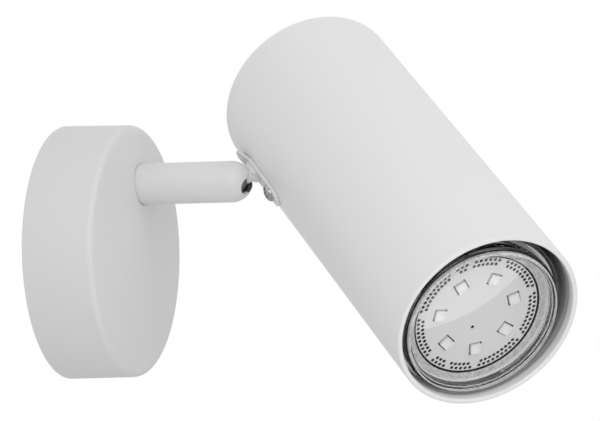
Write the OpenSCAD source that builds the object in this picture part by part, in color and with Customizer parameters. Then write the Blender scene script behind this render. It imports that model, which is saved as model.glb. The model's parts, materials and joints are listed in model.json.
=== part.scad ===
// Adjustable wall spotlight: a round canopy on the wall, a short arm with a
// slotted ball end, and a plain tube that shades a twist-lock LED bulb.
// The wall is the plane Y = 0, the lamp stands out along -Y, and +Z is up.
// Origin: centre of the canopy's back rim. All sizes are in millimetres.

/* [Canopy] */
// Diameter of the canopy at the wall
canopy_d = 80; // [76:0.5:100]
// Height of the canopy's side wall
canopy_depth = 23; // [21:0.5:32]
// Draft of the side wall, in degrees
canopy_draft = 0.9; // [0:0.1:3]
// Rise of the face's shallow dome above its rim
canopy_dome = 2.1; // [1.5:0.1:3]
// Sheet thickness of the canopy
canopy_wall = 1.6; // [1.4:0.1:2]
// Radius of the rounded edge round the face
canopy_fillet = 2; // [1.7:0.1:4]
// Height of the arm above the canopy's centre
arm_up = 21.1; // [17:0.1:23]

/* [Wall bracket] */
// Thickness of the bracket's strip
strap_t = 1.5; // [1:0.1:2]
// Width of the bracket's strip
strap_w = 20; // [18:0.5:24]
// Height of the canopy screws above the wall
side_screw_out = 8; // [6:0.5:10]
// Distance between the two wall slots
slot_spacing = 56; // [52:0.5:60]
// Width of a wall slot
slot_w = 4.4; // [4:0.1:5.2]
// Length of a wall slot, end to end
slot_len = 9; // [7:0.5:10]
// Diameter of the hole for the supply cable
cable_hole_d = 11; // [8:0.5:12]

/* [Arm] */
// Outer diameter of the arm
arm_d = 13; // [12.6:0.1:16]
// Distance from the wall to the centre of the ball
ball_out = 54.4; // [50:0.1:90]
// Wall of the arm's tube
arm_wall = 1.3; // [1:0.1:1.6]
// Outer diameter of the threaded end inside the canopy
thread_d = 9.8; // [9:0.1:10]
// Width of the slot in the arm's round end
ball_slot_w = 5.2; // [5:0.1:5.6]
// Turn of the slot about the arm, from level, in degrees
slot_turn = 45; // [0:1:90]

/* [Ball joint] */
// Diameter of the ball
ball_d = 9.8; // [9:0.1:9.9]
// Thickness of the neck across the slot
neck_t = 4.6; // [4.4:0.1:4.8]
// Half width of the neck along the slot
neck_half = 2.9; // [2.6:0.1:3.2]
// Distance from the ball's centre to the tube's surface
stand_off = 8.6; // [8.4:0.1:11]
// Tilt of the neck from the arm in the rest pose, in degrees
rest_tilt = 36.5; // [0:0.5:80]
// Smallest tilt of the neck, in degrees
tilt_min = -19; // [-25:1:0]
// Largest tilt of the neck, in degrees
tilt_max = 85; // [70:1:86]
// Thickness of the saddle plate
plate_t = 1; // [0.8:0.1:1.2]
// Width of the saddle plate
plate_w = 6; // [5.8:0.1:9]
// Reach of the plate towards the mouth, from the neck's axis
plate_fore = 18.9; // [16.5:0.1:24]
// Reach of the plate towards the rear, from the neck's axis
plate_aft = 12.2; // [9:0.1:16]
// Lift of the plate's rear wing, in degrees
plate_lift = 7; // [2:0.5:8]
// Distance from the neck's axis to the plate's screw
plate_screw_x = 13; // [11.5:0.1:15]

/* [Tube] */
// Outer diameter of the tube
tube_d = 58; // [56:0.5:76]
// Length of the tube
tube_l = 134; // [125:1:200]
// Wall of the tube
tube_wall = 1.6; // [1.2:0.1:2]
// Distance from the tube's mouth to the neck's axis
mouth_to_neck = 110.5; // [106:0.5:111]
// Edge break at the tube's ends
tube_edge = 0.4; // [0.2:0.1:0.7]
// Thickness of the rear cap
cap_t = 1.5; // [1:0.1:2]
// Depth of the rear cap's skirt
cap_skirt = 7; // [4:0.5:10]

/* [Bulb] */
// Gap between the tube's bore and the bulb's rim, on the radius
bulb_gap = 2.6; // [2.2:0.1:3.4]
// Length of the bulb without its pins
bulb_l = 49; // [46:0.5:52]
// Distance from the tube's mouth to the bulb's face
bulb_recess = 0.8; // [0.5:0.1:4]
// Offset of the bulb's axis towards the arm
bulb_off_x = 1.3; // [0:0.1:1.6]
// Offset of the bulb's axis sideways
bulb_off_y = 0.8; // [-1:0.1:1]
// Distance between the axes of the two pins
pin_spacing = 10; // [9.6:0.1:10.4]
// Diameter of a pin's neck
pin_neck_d = 3.2; // [2.8:0.1:3.4]
// Diameter of a pin's head
pin_head_d = 4.9; // [4.6:0.1:5]
// Length of a pin
pin_l = 7; // [6.6:0.1:7.4]
// Width of the clear ring round the perforated cover
cover_edge = 4.8; // [3.8:0.1:5.1]
// Depth of the cover below the bulb's face
cover_deep = 5; // [4.5:0.1:7]
// Thickness of the cover
cover_t = 0.8; // [0.6:0.1:1.2]
// Number of light windows
windows = 7; // [5:1:8]
// Radius of the ring of windows
window_r = 12.2; // [11.5:0.1:13]
// Side of a window
window_w = 3.9; // [3:0.1:4.2]
// Angle of the first window
window_turn = 24; // [0:1:51]
// Distance from the cover's edge to the outer row of vent holes
vent_edge = 1.2; // [1:0.05:1.4]
// Distance between the two rows of vent holes
vent_row_gap = 1.4; // [1.3:0.05:1.7]
// Diameter of a vent hole
vent_d = 0.84; // [0.7:0.02:0.95]
// Step between neighbouring vent holes, in degrees
vent_step = 4.7; // [4.4:0.05:4.8]

/* [Lamp holder] */
// Length of the holder
holder_l = 23; // [21:0.5:26]
// Width of the holder across its screws
holder_w = 33; // [32.5:0.5:35]
// Thickness of the holder the other way
holder_t = 21; // [20:0.5:23]
// Twist from the locked place to the entry hole, in degrees
bayonet_twist = 22; // [20:1:24]
// Distance between the two holder screws
holder_screw_spacing = 26; // [25.5:0.1:26.5]

/* [Hidden] */

// Finish of the circles: fine for large rounds, plain for small ones
fn_big = 120;
fn_mid = 64;
fn_small = 32;
// Clearances: between turning parts, at a running thread, round a dropped-in part, at a seat
clear = 0.3;
run = 0.04;
slip = 0.15;
rest_gap = 0.05;
// Overlap that makes joined solids one
fuse = 0.01;

// Canopy
canopy_r = canopy_d / 2;
arm_r = arm_d / 2;
canopy_r_front = canopy_r - canopy_depth * tan(canopy_draft);
dome_base_r = canopy_r_front - canopy_fillet;
dome_sphere = (pow(dome_base_r, 2) + pow(canopy_dome, 2)) / (2 * canopy_dome);
seat_pocket_gap = 0.2;
thread_r = thread_d / 2;
arm_seat_out = face_out(arm_up + arm_r) - 0.1;
inner_seat_r = 9;
inner_seat_out = face_out(arm_up + inner_seat_r) - canopy_wall - 0.1;

// Wall bracket: the strip's ends are folded out to carry the canopy's screws
strap_reach = canopy_r - canopy_wall - 1.1;
tab_w = 12;
tab_out = side_screw_out + 4.5;
side_screw_r = 1.9;
side_screw_l = 5;
earth_x = 6;
earth_up = 16;
earth_tap_r = 1.7;
earth_head_r = 3.2;
earth_head_t = 2.1;
earth_lead_x = earth_x - earth_tap_r - 1.1;
block_tap_r = 1.25;

// Terminal block: three ways side by side
block_up = -12.5;
block_w = 27;
block_h = 15;
block_t = 12;
way_step = 8.6;
way_r = 2.3;
lobe_r = 3.4;
block_foot = 2.5;
block_well_r = 1.85;
brass_bore_r = 1.3;
brass_out = 7.2;
clamp_screw_r = 1.35;
clamp_screw_step = 7;
clamp_screw_l = 3;

// Arm
ball_r = ball_d / 2;
arm_bore_r = arm_r - arm_wall;
bush_top_out = arm_seat_out + 9;
bush_end_out = 13.5;
bush_bore_r = 3;
nut_t = 3.5;
nut_flats = 14;
washer_t = 0.9;
washer_r = 8.4;
washer_out = inner_seat_out - washer_t - rest_gap;
nut_out = washer_out - nut_t - rest_gap;
seat_l = 5.5;
seat_front_out = ball_out - neck_half - 0.5;
seat_back_out = seat_front_out - seat_l;
spring_wire_r = 0.45;
spring_turns = 5;

// Leads: two insulated wires side by side through the arm and the neck
lead_r = 0.7;
lead_pitch = 0.8;
neck_bore_r = 1.6;
funnel_r = 3.2;

// Tube
tube_r = tube_d / 2;
tube_bore_r = tube_r - tube_wall;
neck_hole_r = 2.6;
spigot_r = 2.4;
plate_screw_r = 1.45;
plate_head_r = 2.75;
plate_head_t = 1.5;
neck_z = -mouth_to_neck;
plate_screw_z = neck_z + plate_screw_x;
cap_inset = 0.5;

// Bulb, measured back from its face
bulb_r = tube_bore_r - bulb_gap;
bulb_rim_l = 5.2;
bulb_glass_t = 1.5;
rim_glass_t = 2.2;
base_r = 11;
base_l = 11;
lens_r = bulb_r - 0.8;
lens_t = 1.2;
lens_ring_h = 0.4;
glass_front_z = -lens_t - lens_ring_h - rest_gap;
cover_r = bulb_r - cover_edge;
cover_ledge = 1.2;
vent_r_out = cover_r - vent_edge;
vent_r_in = vent_r_out - vent_row_gap;
cover_z = -cover_deep;
board_gap = 1;
board_t = 1;
board_r = cover_r - cover_ledge - 0.8;
chip_w = 3.3;
chip_t = 0.8;
sector = 360 / windows;
vent_out_count = floor((sector - 9) / vent_step) + 1;
// Vent holes left out: the sector, the place in the outer row and the place in the inner row
vent_blanks = [[0, 4, 3], [4, 6, 6]];
pin_r = pin_neck_d / 2;
pin_head_r = pin_head_d / 2;
pin_head_l = 2.6;

// Lamp holder, measured back from the tube's mouth
holder_front_z = -bulb_recess - bulb_l - clear;
holder_back_z = holder_front_z - holder_l;
holder_face_t = 3.2;
entry_r = pin_head_r + 0.4;
track_r = pin_r + 0.3;
pocket_r = pin_head_r + 0.4;
pocket_l = pin_l + 1;
contact_deep = 4;
foot_t = 1.5;
leg_t = 1.5;
leg_half_angle = 14;
leg_back_z = neck_z + neck_hole_r + 2.5;
holder_screw_r = 1.4;
holder_head_r = 2.6;
holder_head_t = 2;
holder_sink = holder_head_t + 0.8;
wire_hole_r = 2.2;

// Height of the canopy's face above the wall at a distance from its centre
function face_out(r) = canopy_depth + canopy_dome - dome_sphere + sqrt(pow(dome_sphere, 2) - r * r);

// Smooth closed or open runs: points between hand-set ones, by cubic blending
function blend(a, b, c, d, t) =
  b + 0.5 * t * ((c - a) + (2 * a - 5 * b + 4 * c - d) * t + (3 * b - a - 3 * c + d) * t * t);
function run_points(p, steps) = [
  for (i = [0:len(p) - 2], s = [0:steps - 1])
    blend(p[max(i - 1, 0)], p[i], p[i + 1], p[min(i + 2, len(p) - 1)], s / steps),
  p[len(p) - 1]
];
function unit(v) = v / norm(v);
function tangent(p, i) = unit(p[min(i + 1, len(p) - 1)] - p[max(i - 1, 0)]);
function across(n, t) = unit(n - (n * t) * t);
function normals(p, i, n) =
  i == len(p) ? [] : let (m = across(n, tangent(p, i))) concat([m], normals(p, i + 1, m));

// A round tube swept along points
module sweep(p, r, sides) {
  start = abs(tangent(p, 0)[0]) < 0.8 ? [1, 0, 0] : [0, 1, 0];
  n = normals(p, 0, start);
  rings = [
    for (i = [0:len(p) - 1], k = [0:sides - 1])
      let (t = tangent(p, i), b = cross(t, n[i]), a = 360 * k / sides)
        p[i] + r * (cos(a) * n[i] + sin(a) * b)
  ];
  skin = [
    for (i = [0:len(p) - 2], k = [0:sides - 1], h = [0, 1])
      let (k2 = (k + 1) % sides, a = i * sides, b = a + sides)
        h == 0 ? [a + k, b + k, b + k2] : [a + k, b + k2, a + k2]
  ];
  caps = [[for (k = [0:sides - 1]) k], [for (k = [sides - 1:-1:0]) (len(p) - 1) * sides + k]];
  polyhedron(points = rings, faces = concat(skin, caps), convexity = 4);
}

// Places: z is the way out of the wall, out of the ball and out of the mouth
module on_wall() {
  rotate([90, 0, 0]) children();
}

module on_arm() {
  on_wall() translate([0, arm_up, 0]) children();
}

module at_ball(tilt) {
  on_arm() translate([0, 0, ball_out]) rotate([0, 0, slot_turn])
    rotate([0, tilt, 0]) rotate([0, 0, 180]) children();
}

module on_head() {
  at_ball(rest_tilt) translate([mouth_to_neck, 0, stand_off + tube_r]) rotate([0, 90, 0]) children();
}

module on_bulb() {
  on_head() translate([bulb_off_x, bulb_off_y, -bulb_recess]) children();
}

module on_holder() {
  on_head() translate([bulb_off_x, bulb_off_y, holder_front_z]) children();
}

// Small shared forms
module obround(l, w) {
  square([l - w, w], center = true);
  for (s = [-1, 1]) translate([s * (l - w) / 2, 0]) circle(d = w, $fn = fn_small);
}

module pan_head(r, h) {
  edge = h * 0.45;
  crown = (r * r + pow(h - edge, 2)) / (2 * (h - edge));
  cylinder(r = r, h = edge, $fn = fn_small);
  intersection() {
    cylinder(r = r, h = h, $fn = fn_small);
    translate([0, 0, h - crown]) sphere(r = crown, $fn = fn_mid);
  }
}

module cross_recess(w, deep) {
  for (a = [0, 90]) rotate([0, 0, a]) translate([-w / 2, -w / 7, -deep]) cube([w, w / 3.5, deep + 1]);
}

module hexagon(flats, h) {
  cylinder(r = flats / sqrt(3), h = h, $fn = 6);
}

// Outline of the canopy's shell, drawn in by the sheet thickness for the inside
module canopy_half(inset) {
  f = max(canopy_fillet - inset, 0.3);
  top = canopy_depth - inset;
  edge_r = canopy_r - (canopy_depth - f) * tan(canopy_draft) - inset;
  polygon([
    [0, 0], [canopy_r - inset, 0], [edge_r, top - f], [edge_r - f, top - f], [edge_r - f, top], [0, top]
  ]);
  translate([edge_r - f, top - f]) intersection() {
    circle(r = f, $fn = fn_small);
    square(f);
  }
  intersection() {
    translate([0, face_out(0) - inset - dome_sphere]) circle(r = dome_sphere, $fn = 720);
    translate([0, top - f]) square([edge_r - f + fuse, f + canopy_dome]);
  }
}

// Pressed shell with a recessed seat for the arm
module canopy() color([0.86, 0.86, 0.86]) on_wall() difference() {
  union() {
    rotate_extrude($fn = fn_big) difference() {
      canopy_half(0);
      translate([0, -fuse]) canopy_half(canopy_wall);
      translate([-1, -fuse]) square([1, canopy_depth * 2]);
    }
    translate([0, arm_up, inner_seat_out])
      cylinder(r = inner_seat_r, h = arm_seat_out - inner_seat_out - fuse, $fn = fn_mid);
  }
  translate([0, arm_up, arm_seat_out]) cylinder(r = arm_r + seat_pocket_gap, h = 9, $fn = fn_mid);
  translate([0, arm_up, 0]) cylinder(r = thread_r + slip, h = canopy_depth * 2, $fn = fn_mid);
  for (s = [-1, 1])
    translate([0, s * canopy_r, side_screw_out]) rotate([s * 90, 0, 0]) translate([0, 0, -2])
      cylinder(r = side_screw_r + run, h = 6, $fn = fn_small);
}

// Strip against the wall with two folded tabs
module wall_bracket() color([0.74, 0.75, 0.76]) on_wall() {
  bend_r = strap_t + 0.8;
  difference() {
    union() {
      translate([-strap_w / 2, -strap_reach + bend_r, 0])
        cube([strap_w, 2 * (strap_reach - bend_r), strap_t]);
      for (s = [0, 180]) rotate([0, 0, s]) {
        translate([-tab_w / 2, strap_reach - bend_r, bend_r]) rotate([0, 90, 0])
          rotate_extrude(angle = 90, $fn = fn_mid)
            translate([bend_r - strap_t, 0]) square([strap_t, tab_w]);
        translate([-tab_w / 2, strap_reach - strap_t, bend_r]) cube([tab_w, strap_t, tab_out - bend_r]);
      }
    }
    for (s = [-1, 1]) {
      translate([0, s * slot_spacing / 2, -1]) rotate([0, 0, 90])
        linear_extrude(strap_t + 2) obround(slot_len, slot_w);
      translate([0, s * strap_reach, side_screw_out]) rotate([s * 90, 0, 0]) translate([0, 0, -3])
        cylinder(r = side_screw_r + run, h = 6, $fn = fn_small);
    }
    translate([0, 5, -1]) cylinder(d = cable_hole_d, h = strap_t + 2, $fn = fn_mid);
    translate([earth_x, earth_up, -1]) cylinder(r = earth_tap_r, h = strap_t + 2, $fn = fn_small);
    translate([-way_step / 2, block_up, -1]) cylinder(r = block_tap_r, h = strap_t + 2, $fn = fn_small);
  }
}

// Socket screws that hold the canopy to the bracket's tabs
module canopy_screws() color([0.8, 0.8, 0.82]) on_wall() {
  flush_r = canopy_r - side_screw_out * tan(canopy_draft) - 0.3;
  for (s = [-1, 1])
    translate([0, s * flush_r, side_screw_out]) rotate([s * 90, 0, 0]) difference() {
      cylinder(r = side_screw_r, h = side_screw_l, $fn = fn_small);
      translate([0, 0, -1]) cylinder(r = 1, h = 3, $fn = 6);
    }
}

// Toothed washer between the canopy and the nut
module lock_washer() color([0.7, 0.7, 0.7]) on_arm() translate([0, 0, washer_out]) {
  teeth = 10;
  tooth_w = 2.6;
  difference() {
    union() {
      cylinder(r = washer_r - 1.4, h = washer_t, $fn = fn_mid);
      for (i = [0:teeth - 1]) rotate([0, 0, i * 360 / teeth])
        translate([washer_r - 2, -tooth_w / 2, 0]) cube([2, tooth_w, washer_t]);
    }
    translate([0, 0, -1]) cylinder(r = thread_r + slip, h = washer_t + 2, $fn = fn_mid);
  }
}

// Body of the terminal block, on the bracket
module terminal_block() color([0.93, 0.93, 0.9]) on_wall() translate([0, block_up, strap_t]) {
  tower_r = 2.7;
  difference() {
    union() {
      translate([-block_w / 2, -block_h / 2, 0]) cube([block_w, block_h, block_foot]);
      for (i = [-1:1]) translate([i * way_step, 0, brass_out]) rotate([90, 0, 0])
        cylinder(r = lobe_r, h = block_h, center = true, $fn = fn_small);
      for (i = [-1:1]) translate([i * way_step - lobe_r, -block_h / 2, 0])
        cube([2 * lobe_r, block_h, brass_out]);
      for (i = [-1:1], s = [-1, 1]) translate([i * way_step, s * clamp_screw_step / 2, block_foot])
        cylinder(r = tower_r, h = block_t - block_foot, $fn = fn_small);
    }
    for (i = [-1:1]) translate([i * way_step, 0, brass_out]) rotate([90, 0, 0])
      cylinder(r = way_r, h = block_h + 2, center = true, $fn = fn_small);
    for (i = [-1:1], s = [-1, 1]) translate([i * way_step, s * clamp_screw_step / 2, brass_out])
      cylinder(r = clamp_screw_r + 0.35, h = block_t, $fn = fn_small);
    for (s = [-1, 1]) translate([s * way_step / 2, 0, 0]) {
      translate([0, 0, -1]) cylinder(r = block_tap_r + slip, h = block_foot + 2, $fn = fn_small);
      translate([0, 0, block_foot]) cylinder(r = block_well_r, h = block_t, $fn = fn_small);
    }
  }
}

// Brass clamping tubes of the three ways
module terminal_tubes() color([0.83, 0.68, 0.36]) on_wall() translate([0, block_up, strap_t]) {
  for (i = [-1:1]) difference() {
    translate([i * way_step, 0, brass_out]) rotate([90, 0, 0])
      cylinder(r = way_r - 0.1, h = block_h - 2, center = true, $fn = fn_small);
    translate([i * way_step, 0, brass_out]) rotate([90, 0, 0])
      cylinder(r = brass_bore_r, h = block_h, center = true, $fn = fn_small);
    for (s = [-1, 1]) translate([i * way_step, s * clamp_screw_step / 2, brass_out])
      cylinder(r = clamp_screw_r + run, h = block_t, $fn = fn_small);
  }
}

// Clamp screws of the terminal block
module terminal_screws() color([0.78, 0.78, 0.74]) on_wall() translate([0, block_up, strap_t]) {
  for (i = [-1:1], s = [-1, 1])
    translate([i * way_step, s * clamp_screw_step / 2, brass_out + brass_bore_r]) difference() {
      cylinder(r = clamp_screw_r, h = clamp_screw_l, $fn = fn_small);
      translate([-clamp_screw_r - 1, -0.25, clamp_screw_l - 0.8]) cube([2 * clamp_screw_r + 2, 0.5, 1]);
    }
}

// Screw that holds the terminal block, in the well between two ways
module block_screw() color([0.75, 0.75, 0.75]) on_wall() translate([-way_step / 2, block_up, 0]) {
  head_out = strap_t + block_foot + rest_gap;
  translate([0, 0, 0.2]) cylinder(r = block_tap_r - run, h = head_out, $fn = fn_small);
  translate([0, 0, head_out]) difference() {
    cylinder(r = block_well_r - slip, h = 1.4, $fn = fn_small);
    translate([-block_well_r, -0.25, 0.7]) cube([2 * block_well_r, 0.5, 1]);
  }
}

// Earth screw on the bracket
module earth_screw() color([0.8, 0.7, 0.4]) on_wall() translate([earth_x, earth_up, 0]) {
  head_out = strap_t + 2 * (lead_r + slip);
  translate([0, 0, 0.2]) cylinder(r = earth_tap_r - run, h = head_out, $fn = fn_small);
  translate([0, 0, head_out]) difference() {
    pan_head(earth_head_r, earth_head_t);
    translate([0, 0, earth_head_t + 0.1]) cross_recess(earth_head_r, 1);
  }
}

// Half section of the arm: a straight wall that closes in a round end
module arm_half(r) {
  translate([0, -ball_out]) square([r, ball_out]);
  intersection() {
    circle(r = r, $fn = fn_mid);
    square(r);
  }
}

// Arm: a tube with a round end that is slotted for the neck
module arm_tube() color([0.88, 0.88, 0.88]) on_arm() translate([0, 0, ball_out]) difference() {
  rotate_extrude($fn = fn_mid) difference() {
    arm_half(arm_r);
    arm_half(arm_bore_r);
    translate([-1, -ball_out - 1]) square([arm_r + 2, arm_seat_out + 1]);
  }
  rotate([0, 0, slot_turn]) ball_slot();
}

// Slot swept by the neck, with round ends at both limits of the tilt
module ball_slot() {
  start = arm_bore_r * 0.7;
  reach = arm_r + 2;
  end_shift = asin((neck_half - neck_t / 2) / arm_r);
  from = tilt_min - end_shift;
  swing = tilt_max + end_shift - from;
  rotate([90, 0, 0]) linear_extrude(ball_slot_w - 2 * fuse, center = true)
    polygon(concat(
      [[0, 0]],
      [for (i = [0:4]) let (t = from + i * swing / 4) 2 * reach * [sin(t), cos(t)]]
    ));
  for (tilt = [from, from + swing])
    rotate([0, tilt, 0]) translate([0, 0, start])
      cylinder(d = ball_slot_w, h = reach - start, $fn = fn_small);
}

// Threaded bush that ties the arm to the canopy
module arm_bush() color([0.8, 0.8, 0.8]) on_arm() difference() {
  union() {
    translate([0, 0, bush_end_out])
      cylinder(r = thread_r, h = arm_seat_out - bush_end_out + 1, $fn = fn_mid);
    translate([0, 0, arm_seat_out + rest_gap])
      cylinder(r = arm_bore_r - run, h = bush_top_out - arm_seat_out - rest_gap, $fn = fn_mid);
  }
  translate([0, 0, bush_end_out - 1]) cylinder(r = bush_bore_r, h = 40, $fn = fn_mid);
}

// Nut that clamps the bush from inside the canopy
module arm_nut() color([0.76, 0.76, 0.78]) on_arm() translate([0, 0, nut_out]) difference() {
  intersection() {
    hexagon(nut_flats, nut_t);
    cylinder(r1 = nut_flats / 2 + 0.3, r2 = nut_flats / 2 + 0.3 + nut_t, h = nut_t, $fn = fn_mid);
  }
  translate([0, 0, -1]) cylinder(r = thread_r + run, h = nut_t + 2, $fn = fn_mid);
}

// Cup that presses on the ball from behind
module ball_seat() color([0.92, 0.92, 0.88]) on_arm() difference() {
  translate([0, 0, seat_back_out]) cylinder(r = arm_bore_r - slip, h = seat_l, $fn = fn_mid);
  translate([0, 0, ball_out]) sphere(r = ball_r + clear * 0.6, $fn = fn_mid);
  translate([0, 0, seat_back_out - 1]) cylinder(r = funnel_r - 0.4, h = seat_l + 2, $fn = fn_mid);
}

// Spring that presses the cup forward
module seat_spring() color([0.7, 0.7, 0.72]) on_arm() {
  coil_r = arm_bore_r - spring_wire_r - 0.25;
  low = bush_top_out + spring_wire_r + 0.1;
  high = seat_back_out - spring_wire_r - 0.1;
  steps = 20 * spring_turns;
  sweep([
    for (i = [0:steps]) let (a = i * 360 / 20, t = i / steps)
      [coil_r * cos(a), coil_r * sin(a), low + (high - low) * t]
  ], spring_wire_r, 6);
}

// Stretch of the two leads inside the arm
module arm_leads() color([0.95, 0.95, 0.93]) on_arm() {
  end_out = ball_out - ball_r - 0.6;
  for (s = [-1, 1]) sweep(run_points([
    [s * lead_pitch, 0, bush_end_out + 0.3], [s * lead_pitch, 0, 20], [s * lead_pitch, 0, 28],
    [s * lead_pitch, 0, 38], [s * lead_pitch, 0, end_out]
  ], 2), lead_r, 8);
}

// Stretch of the two leads from the arm to the terminal block
module canopy_leads() color([0.95, 0.95, 0.93]) on_wall() {
  top = block_up + block_h / 2;
  for (s = [-1, 1]) sweep(run_points([
    [s * lead_pitch, arm_up, bush_end_out - 0.2], [s * lead_pitch, arm_up - 0.4, 11.8],
    [s * 1.6, arm_up - 3, 10], [s * 4, arm_up - 8, 9.2], [s * 7.2, 6, 9],
    [s * way_step, 1, strap_t + brass_out],
    [s * way_step, top + 1, strap_t + brass_out], [s * way_step, top - 4, strap_t + brass_out]
  ], 4), lead_r, 8);
}

// Earth wire from the middle way to the earth screw
module earth_lead() color([0.55, 0.7, 0.2]) on_wall() {
  top = block_up + block_h / 2;
  sweep(run_points([
    [0, top - 4, strap_t + brass_out], [0, top + 1, strap_t + brass_out], [0.2, 0, 8], [1, 5, 6],
    [2.5, 9.5, 3.6], [earth_lead_x, earth_up - 3.4, strap_t + lead_r + slip],
    [earth_lead_x, earth_up - 0.5, strap_t + lead_r + slip]
  ], 4), lead_r, 8);
}

// Outline of the neck's foot in the plane of the slot, spreading into the plate
module neck_foot() {
  plate_z = stand_off - plate_t;
  spread = 1.4;
  foot_half = neck_half - neck_t / 4 + spread;
  difference() {
    translate([-foot_half, plate_z - spread]) square([2 * foot_half, spread + fuse]);
    for (s = [-1, 1]) translate([s * foot_half, plate_z - spread]) circle(r = spread, $fn = fn_small);
  }
}

// Plate with an underside hollowed to the tube's round, and a rear wing that stands off it
module saddle_plate() {
  half = plate_w / 2;
  hollow = tube_r - sqrt(pow(tube_r, 2) - pow(half, 2));
  wing_l = plate_aft - plate_w;
  difference() {
    linear_extrude(plate_t + hollow) {
      translate([-half, -half]) square([plate_fore, plate_w]);
      translate([plate_fore - half, 0]) circle(r = half, $fn = fn_mid);
    }
    translate([-plate_aft, 0, plate_t + tube_r]) rotate([0, 90, 0])
      cylinder(r = tube_r + rest_gap, h = plate_aft + plate_fore + 1, $fn = fn_big);
  }
  translate([-half, 0, 0]) rotate([0, -plate_lift, 0]) linear_extrude(plate_t - rest_gap) {
    translate([-wing_l, -half]) square([wing_l + fuse, plate_w]);
    translate([-wing_l, 0]) circle(r = half, $fn = fn_mid);
  }
}

// Ball, neck and saddle plate in one casting, bored for the leads
module knuckle() color([0.86, 0.86, 0.86]) at_ball(rest_tilt) difference() {
  plate_z = stand_off - plate_t;
  union() {
    sphere(r = ball_r, $fn = fn_mid);
    linear_extrude(plate_z + fuse) obround(2 * neck_half, neck_t);
    rotate([90, 0, 0]) linear_extrude(neck_t - 0.6, center = true) neck_foot();
    translate([0, 0, plate_z]) saddle_plate();
    translate([0, 0, plate_z]) cylinder(r = spigot_r, h = plate_t + tube_wall + 0.8, $fn = fn_mid);
  }
  translate([0, 0, -ball_r - 1]) cylinder(r = neck_bore_r, h = 40, $fn = fn_small);
  translate([0, 0, -ball_r - fuse]) cylinder(r1 = funnel_r, r2 = neck_bore_r, h = ball_r, $fn = fn_mid);
  translate([plate_screw_x, 0, plate_z - 1])
    cylinder(r = plate_screw_r + slip, h = plate_t + 2, $fn = fn_small);
}

// Screw through the plate and the tube into the inner bracket
module plate_screw() color([0.9, 0.9, 0.92]) at_ball(rest_tilt)
  translate([plate_screw_x, 0, stand_off - plate_t]) {
  translate([0, 0, -fuse])
    cylinder(r = plate_screw_r, h = plate_t + tube_wall + leg_t + 1.4, $fn = fn_small);
  rotate([180, 0, 0]) difference() {
    pan_head(plate_head_r, plate_head_t);
    translate([0, 0, plate_head_t]) cross_recess(2.8, 0.8);
  }
}

// Tube open at the mouth, with holes for the neck and the screw
module head_tube() color([0.93, 0.93, 0.93]) on_head() difference() {
  rotate_extrude($fn = fn_big) {
    polygon([
      [tube_bore_r, -tube_edge], [tube_bore_r + tube_edge, 0],
      [tube_r - tube_edge, 0], [tube_r, -tube_edge],
      [tube_r, -tube_l + tube_edge], [tube_r - tube_edge, -tube_l],
      [tube_bore_r + tube_edge, -tube_l], [tube_bore_r, -tube_l + tube_edge]
    ]);
  }
  translate([tube_bore_r - 4, 0, neck_z]) rotate([0, 90, 0])
    cylinder(r = neck_hole_r, h = 10, $fn = fn_mid);
  translate([tube_bore_r - 4, 0, plate_screw_z]) rotate([0, 90, 0])
    cylinder(r = plate_screw_r + slip, h = 10, $fn = fn_small);
}

// Cap pressed into the tube's rear
module rear_cap() color([0.88, 0.88, 0.88]) on_head() translate([0, 0, -tube_l + cap_inset]) {
  cap_r = tube_bore_r - 0.08;
  edge = 0.5;
  rotate_extrude($fn = fn_big) polygon([
    [0, 0], [cap_r - edge, 0], [cap_r, edge], [cap_r, cap_skirt], [cap_r - cap_t, cap_skirt],
    [cap_r - cap_t, cap_t], [0, cap_t]
  ]);
}

// Bent strip inside the tube: a curved leg and a foot square to the axis
module holder_bracket() color([0.72, 0.73, 0.74]) on_head() {
  leg_r = tube_bore_r - 0.1;
  foot_z = holder_back_z - foot_t - rest_gap;
  foot_w = 19;
  difference() {
    union() {
      translate([0, 0, leg_back_z]) rotate([0, 0, -leg_half_angle])
        rotate_extrude(angle = 2 * leg_half_angle, $fn = fn_big)
          translate([leg_r - leg_t, 0]) square([leg_t, foot_z + foot_t - leg_back_z]);
      translate([0, 0, foot_z]) linear_extrude(foot_t) intersection() {
        circle(r = leg_r - 0.3, $fn = fn_big);
        union() {
          translate([bulb_off_x, bulb_off_y]) rotate(90) obround(holder_w + 1, 12);
          translate([0, -leg_r * sin(leg_half_angle)]) square([leg_r, 2 * leg_r * sin(leg_half_angle)]);
          translate([bulb_off_x, bulb_off_y]) circle(d = foot_w, $fn = fn_mid);
        }
      }
    }
    translate([bulb_off_x, bulb_off_y, foot_z - 1]) {
      for (s = [-1, 1]) {
        translate([0, s * holder_screw_spacing / 2, 0])
          cylinder(r = holder_screw_r + run, h = foot_t + 2, $fn = fn_small);
        translate([0, s * pin_spacing / 2, 0])
          cylinder(r = wire_hole_r + 0.6, h = foot_t + 2, $fn = fn_small);
      }
    }
    translate([leg_r - 5, 0, plate_screw_z]) rotate([0, 90, 0])
      cylinder(r = plate_screw_r + run, h = 10, $fn = fn_small);
  }
}

// Outline of a keyhole: a curved channel from the locked place to the entry hole
module keyhole_outline(half) {
  r = pin_spacing / 2;
  far = 2 * r;
  intersection() {
    difference() {
      circle(r = r + half - fuse, $fn = fn_mid);
      circle(r = r - half + fuse, $fn = fn_mid);
    }
    polygon([[0, 0], [far, 0], far * [cos(bayonet_twist), sin(bayonet_twist)]]);
  }
  translate([r, 0]) circle(r = half, $fn = fn_small);
  rotate(bayonet_twist) translate([r, 0]) circle(r = entry_r, $fn = fn_small);
}

// One curved keyhole of the holder: the track in its face and the wider pocket behind
module keyhole() {
  translate([0, 0, -holder_face_t - 1]) linear_extrude(holder_face_t + 2) keyhole_outline(track_r);
  translate([0, 0, -pocket_l]) linear_extrude(pocket_l - holder_face_t) keyhole_outline(pocket_r);
}

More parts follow.
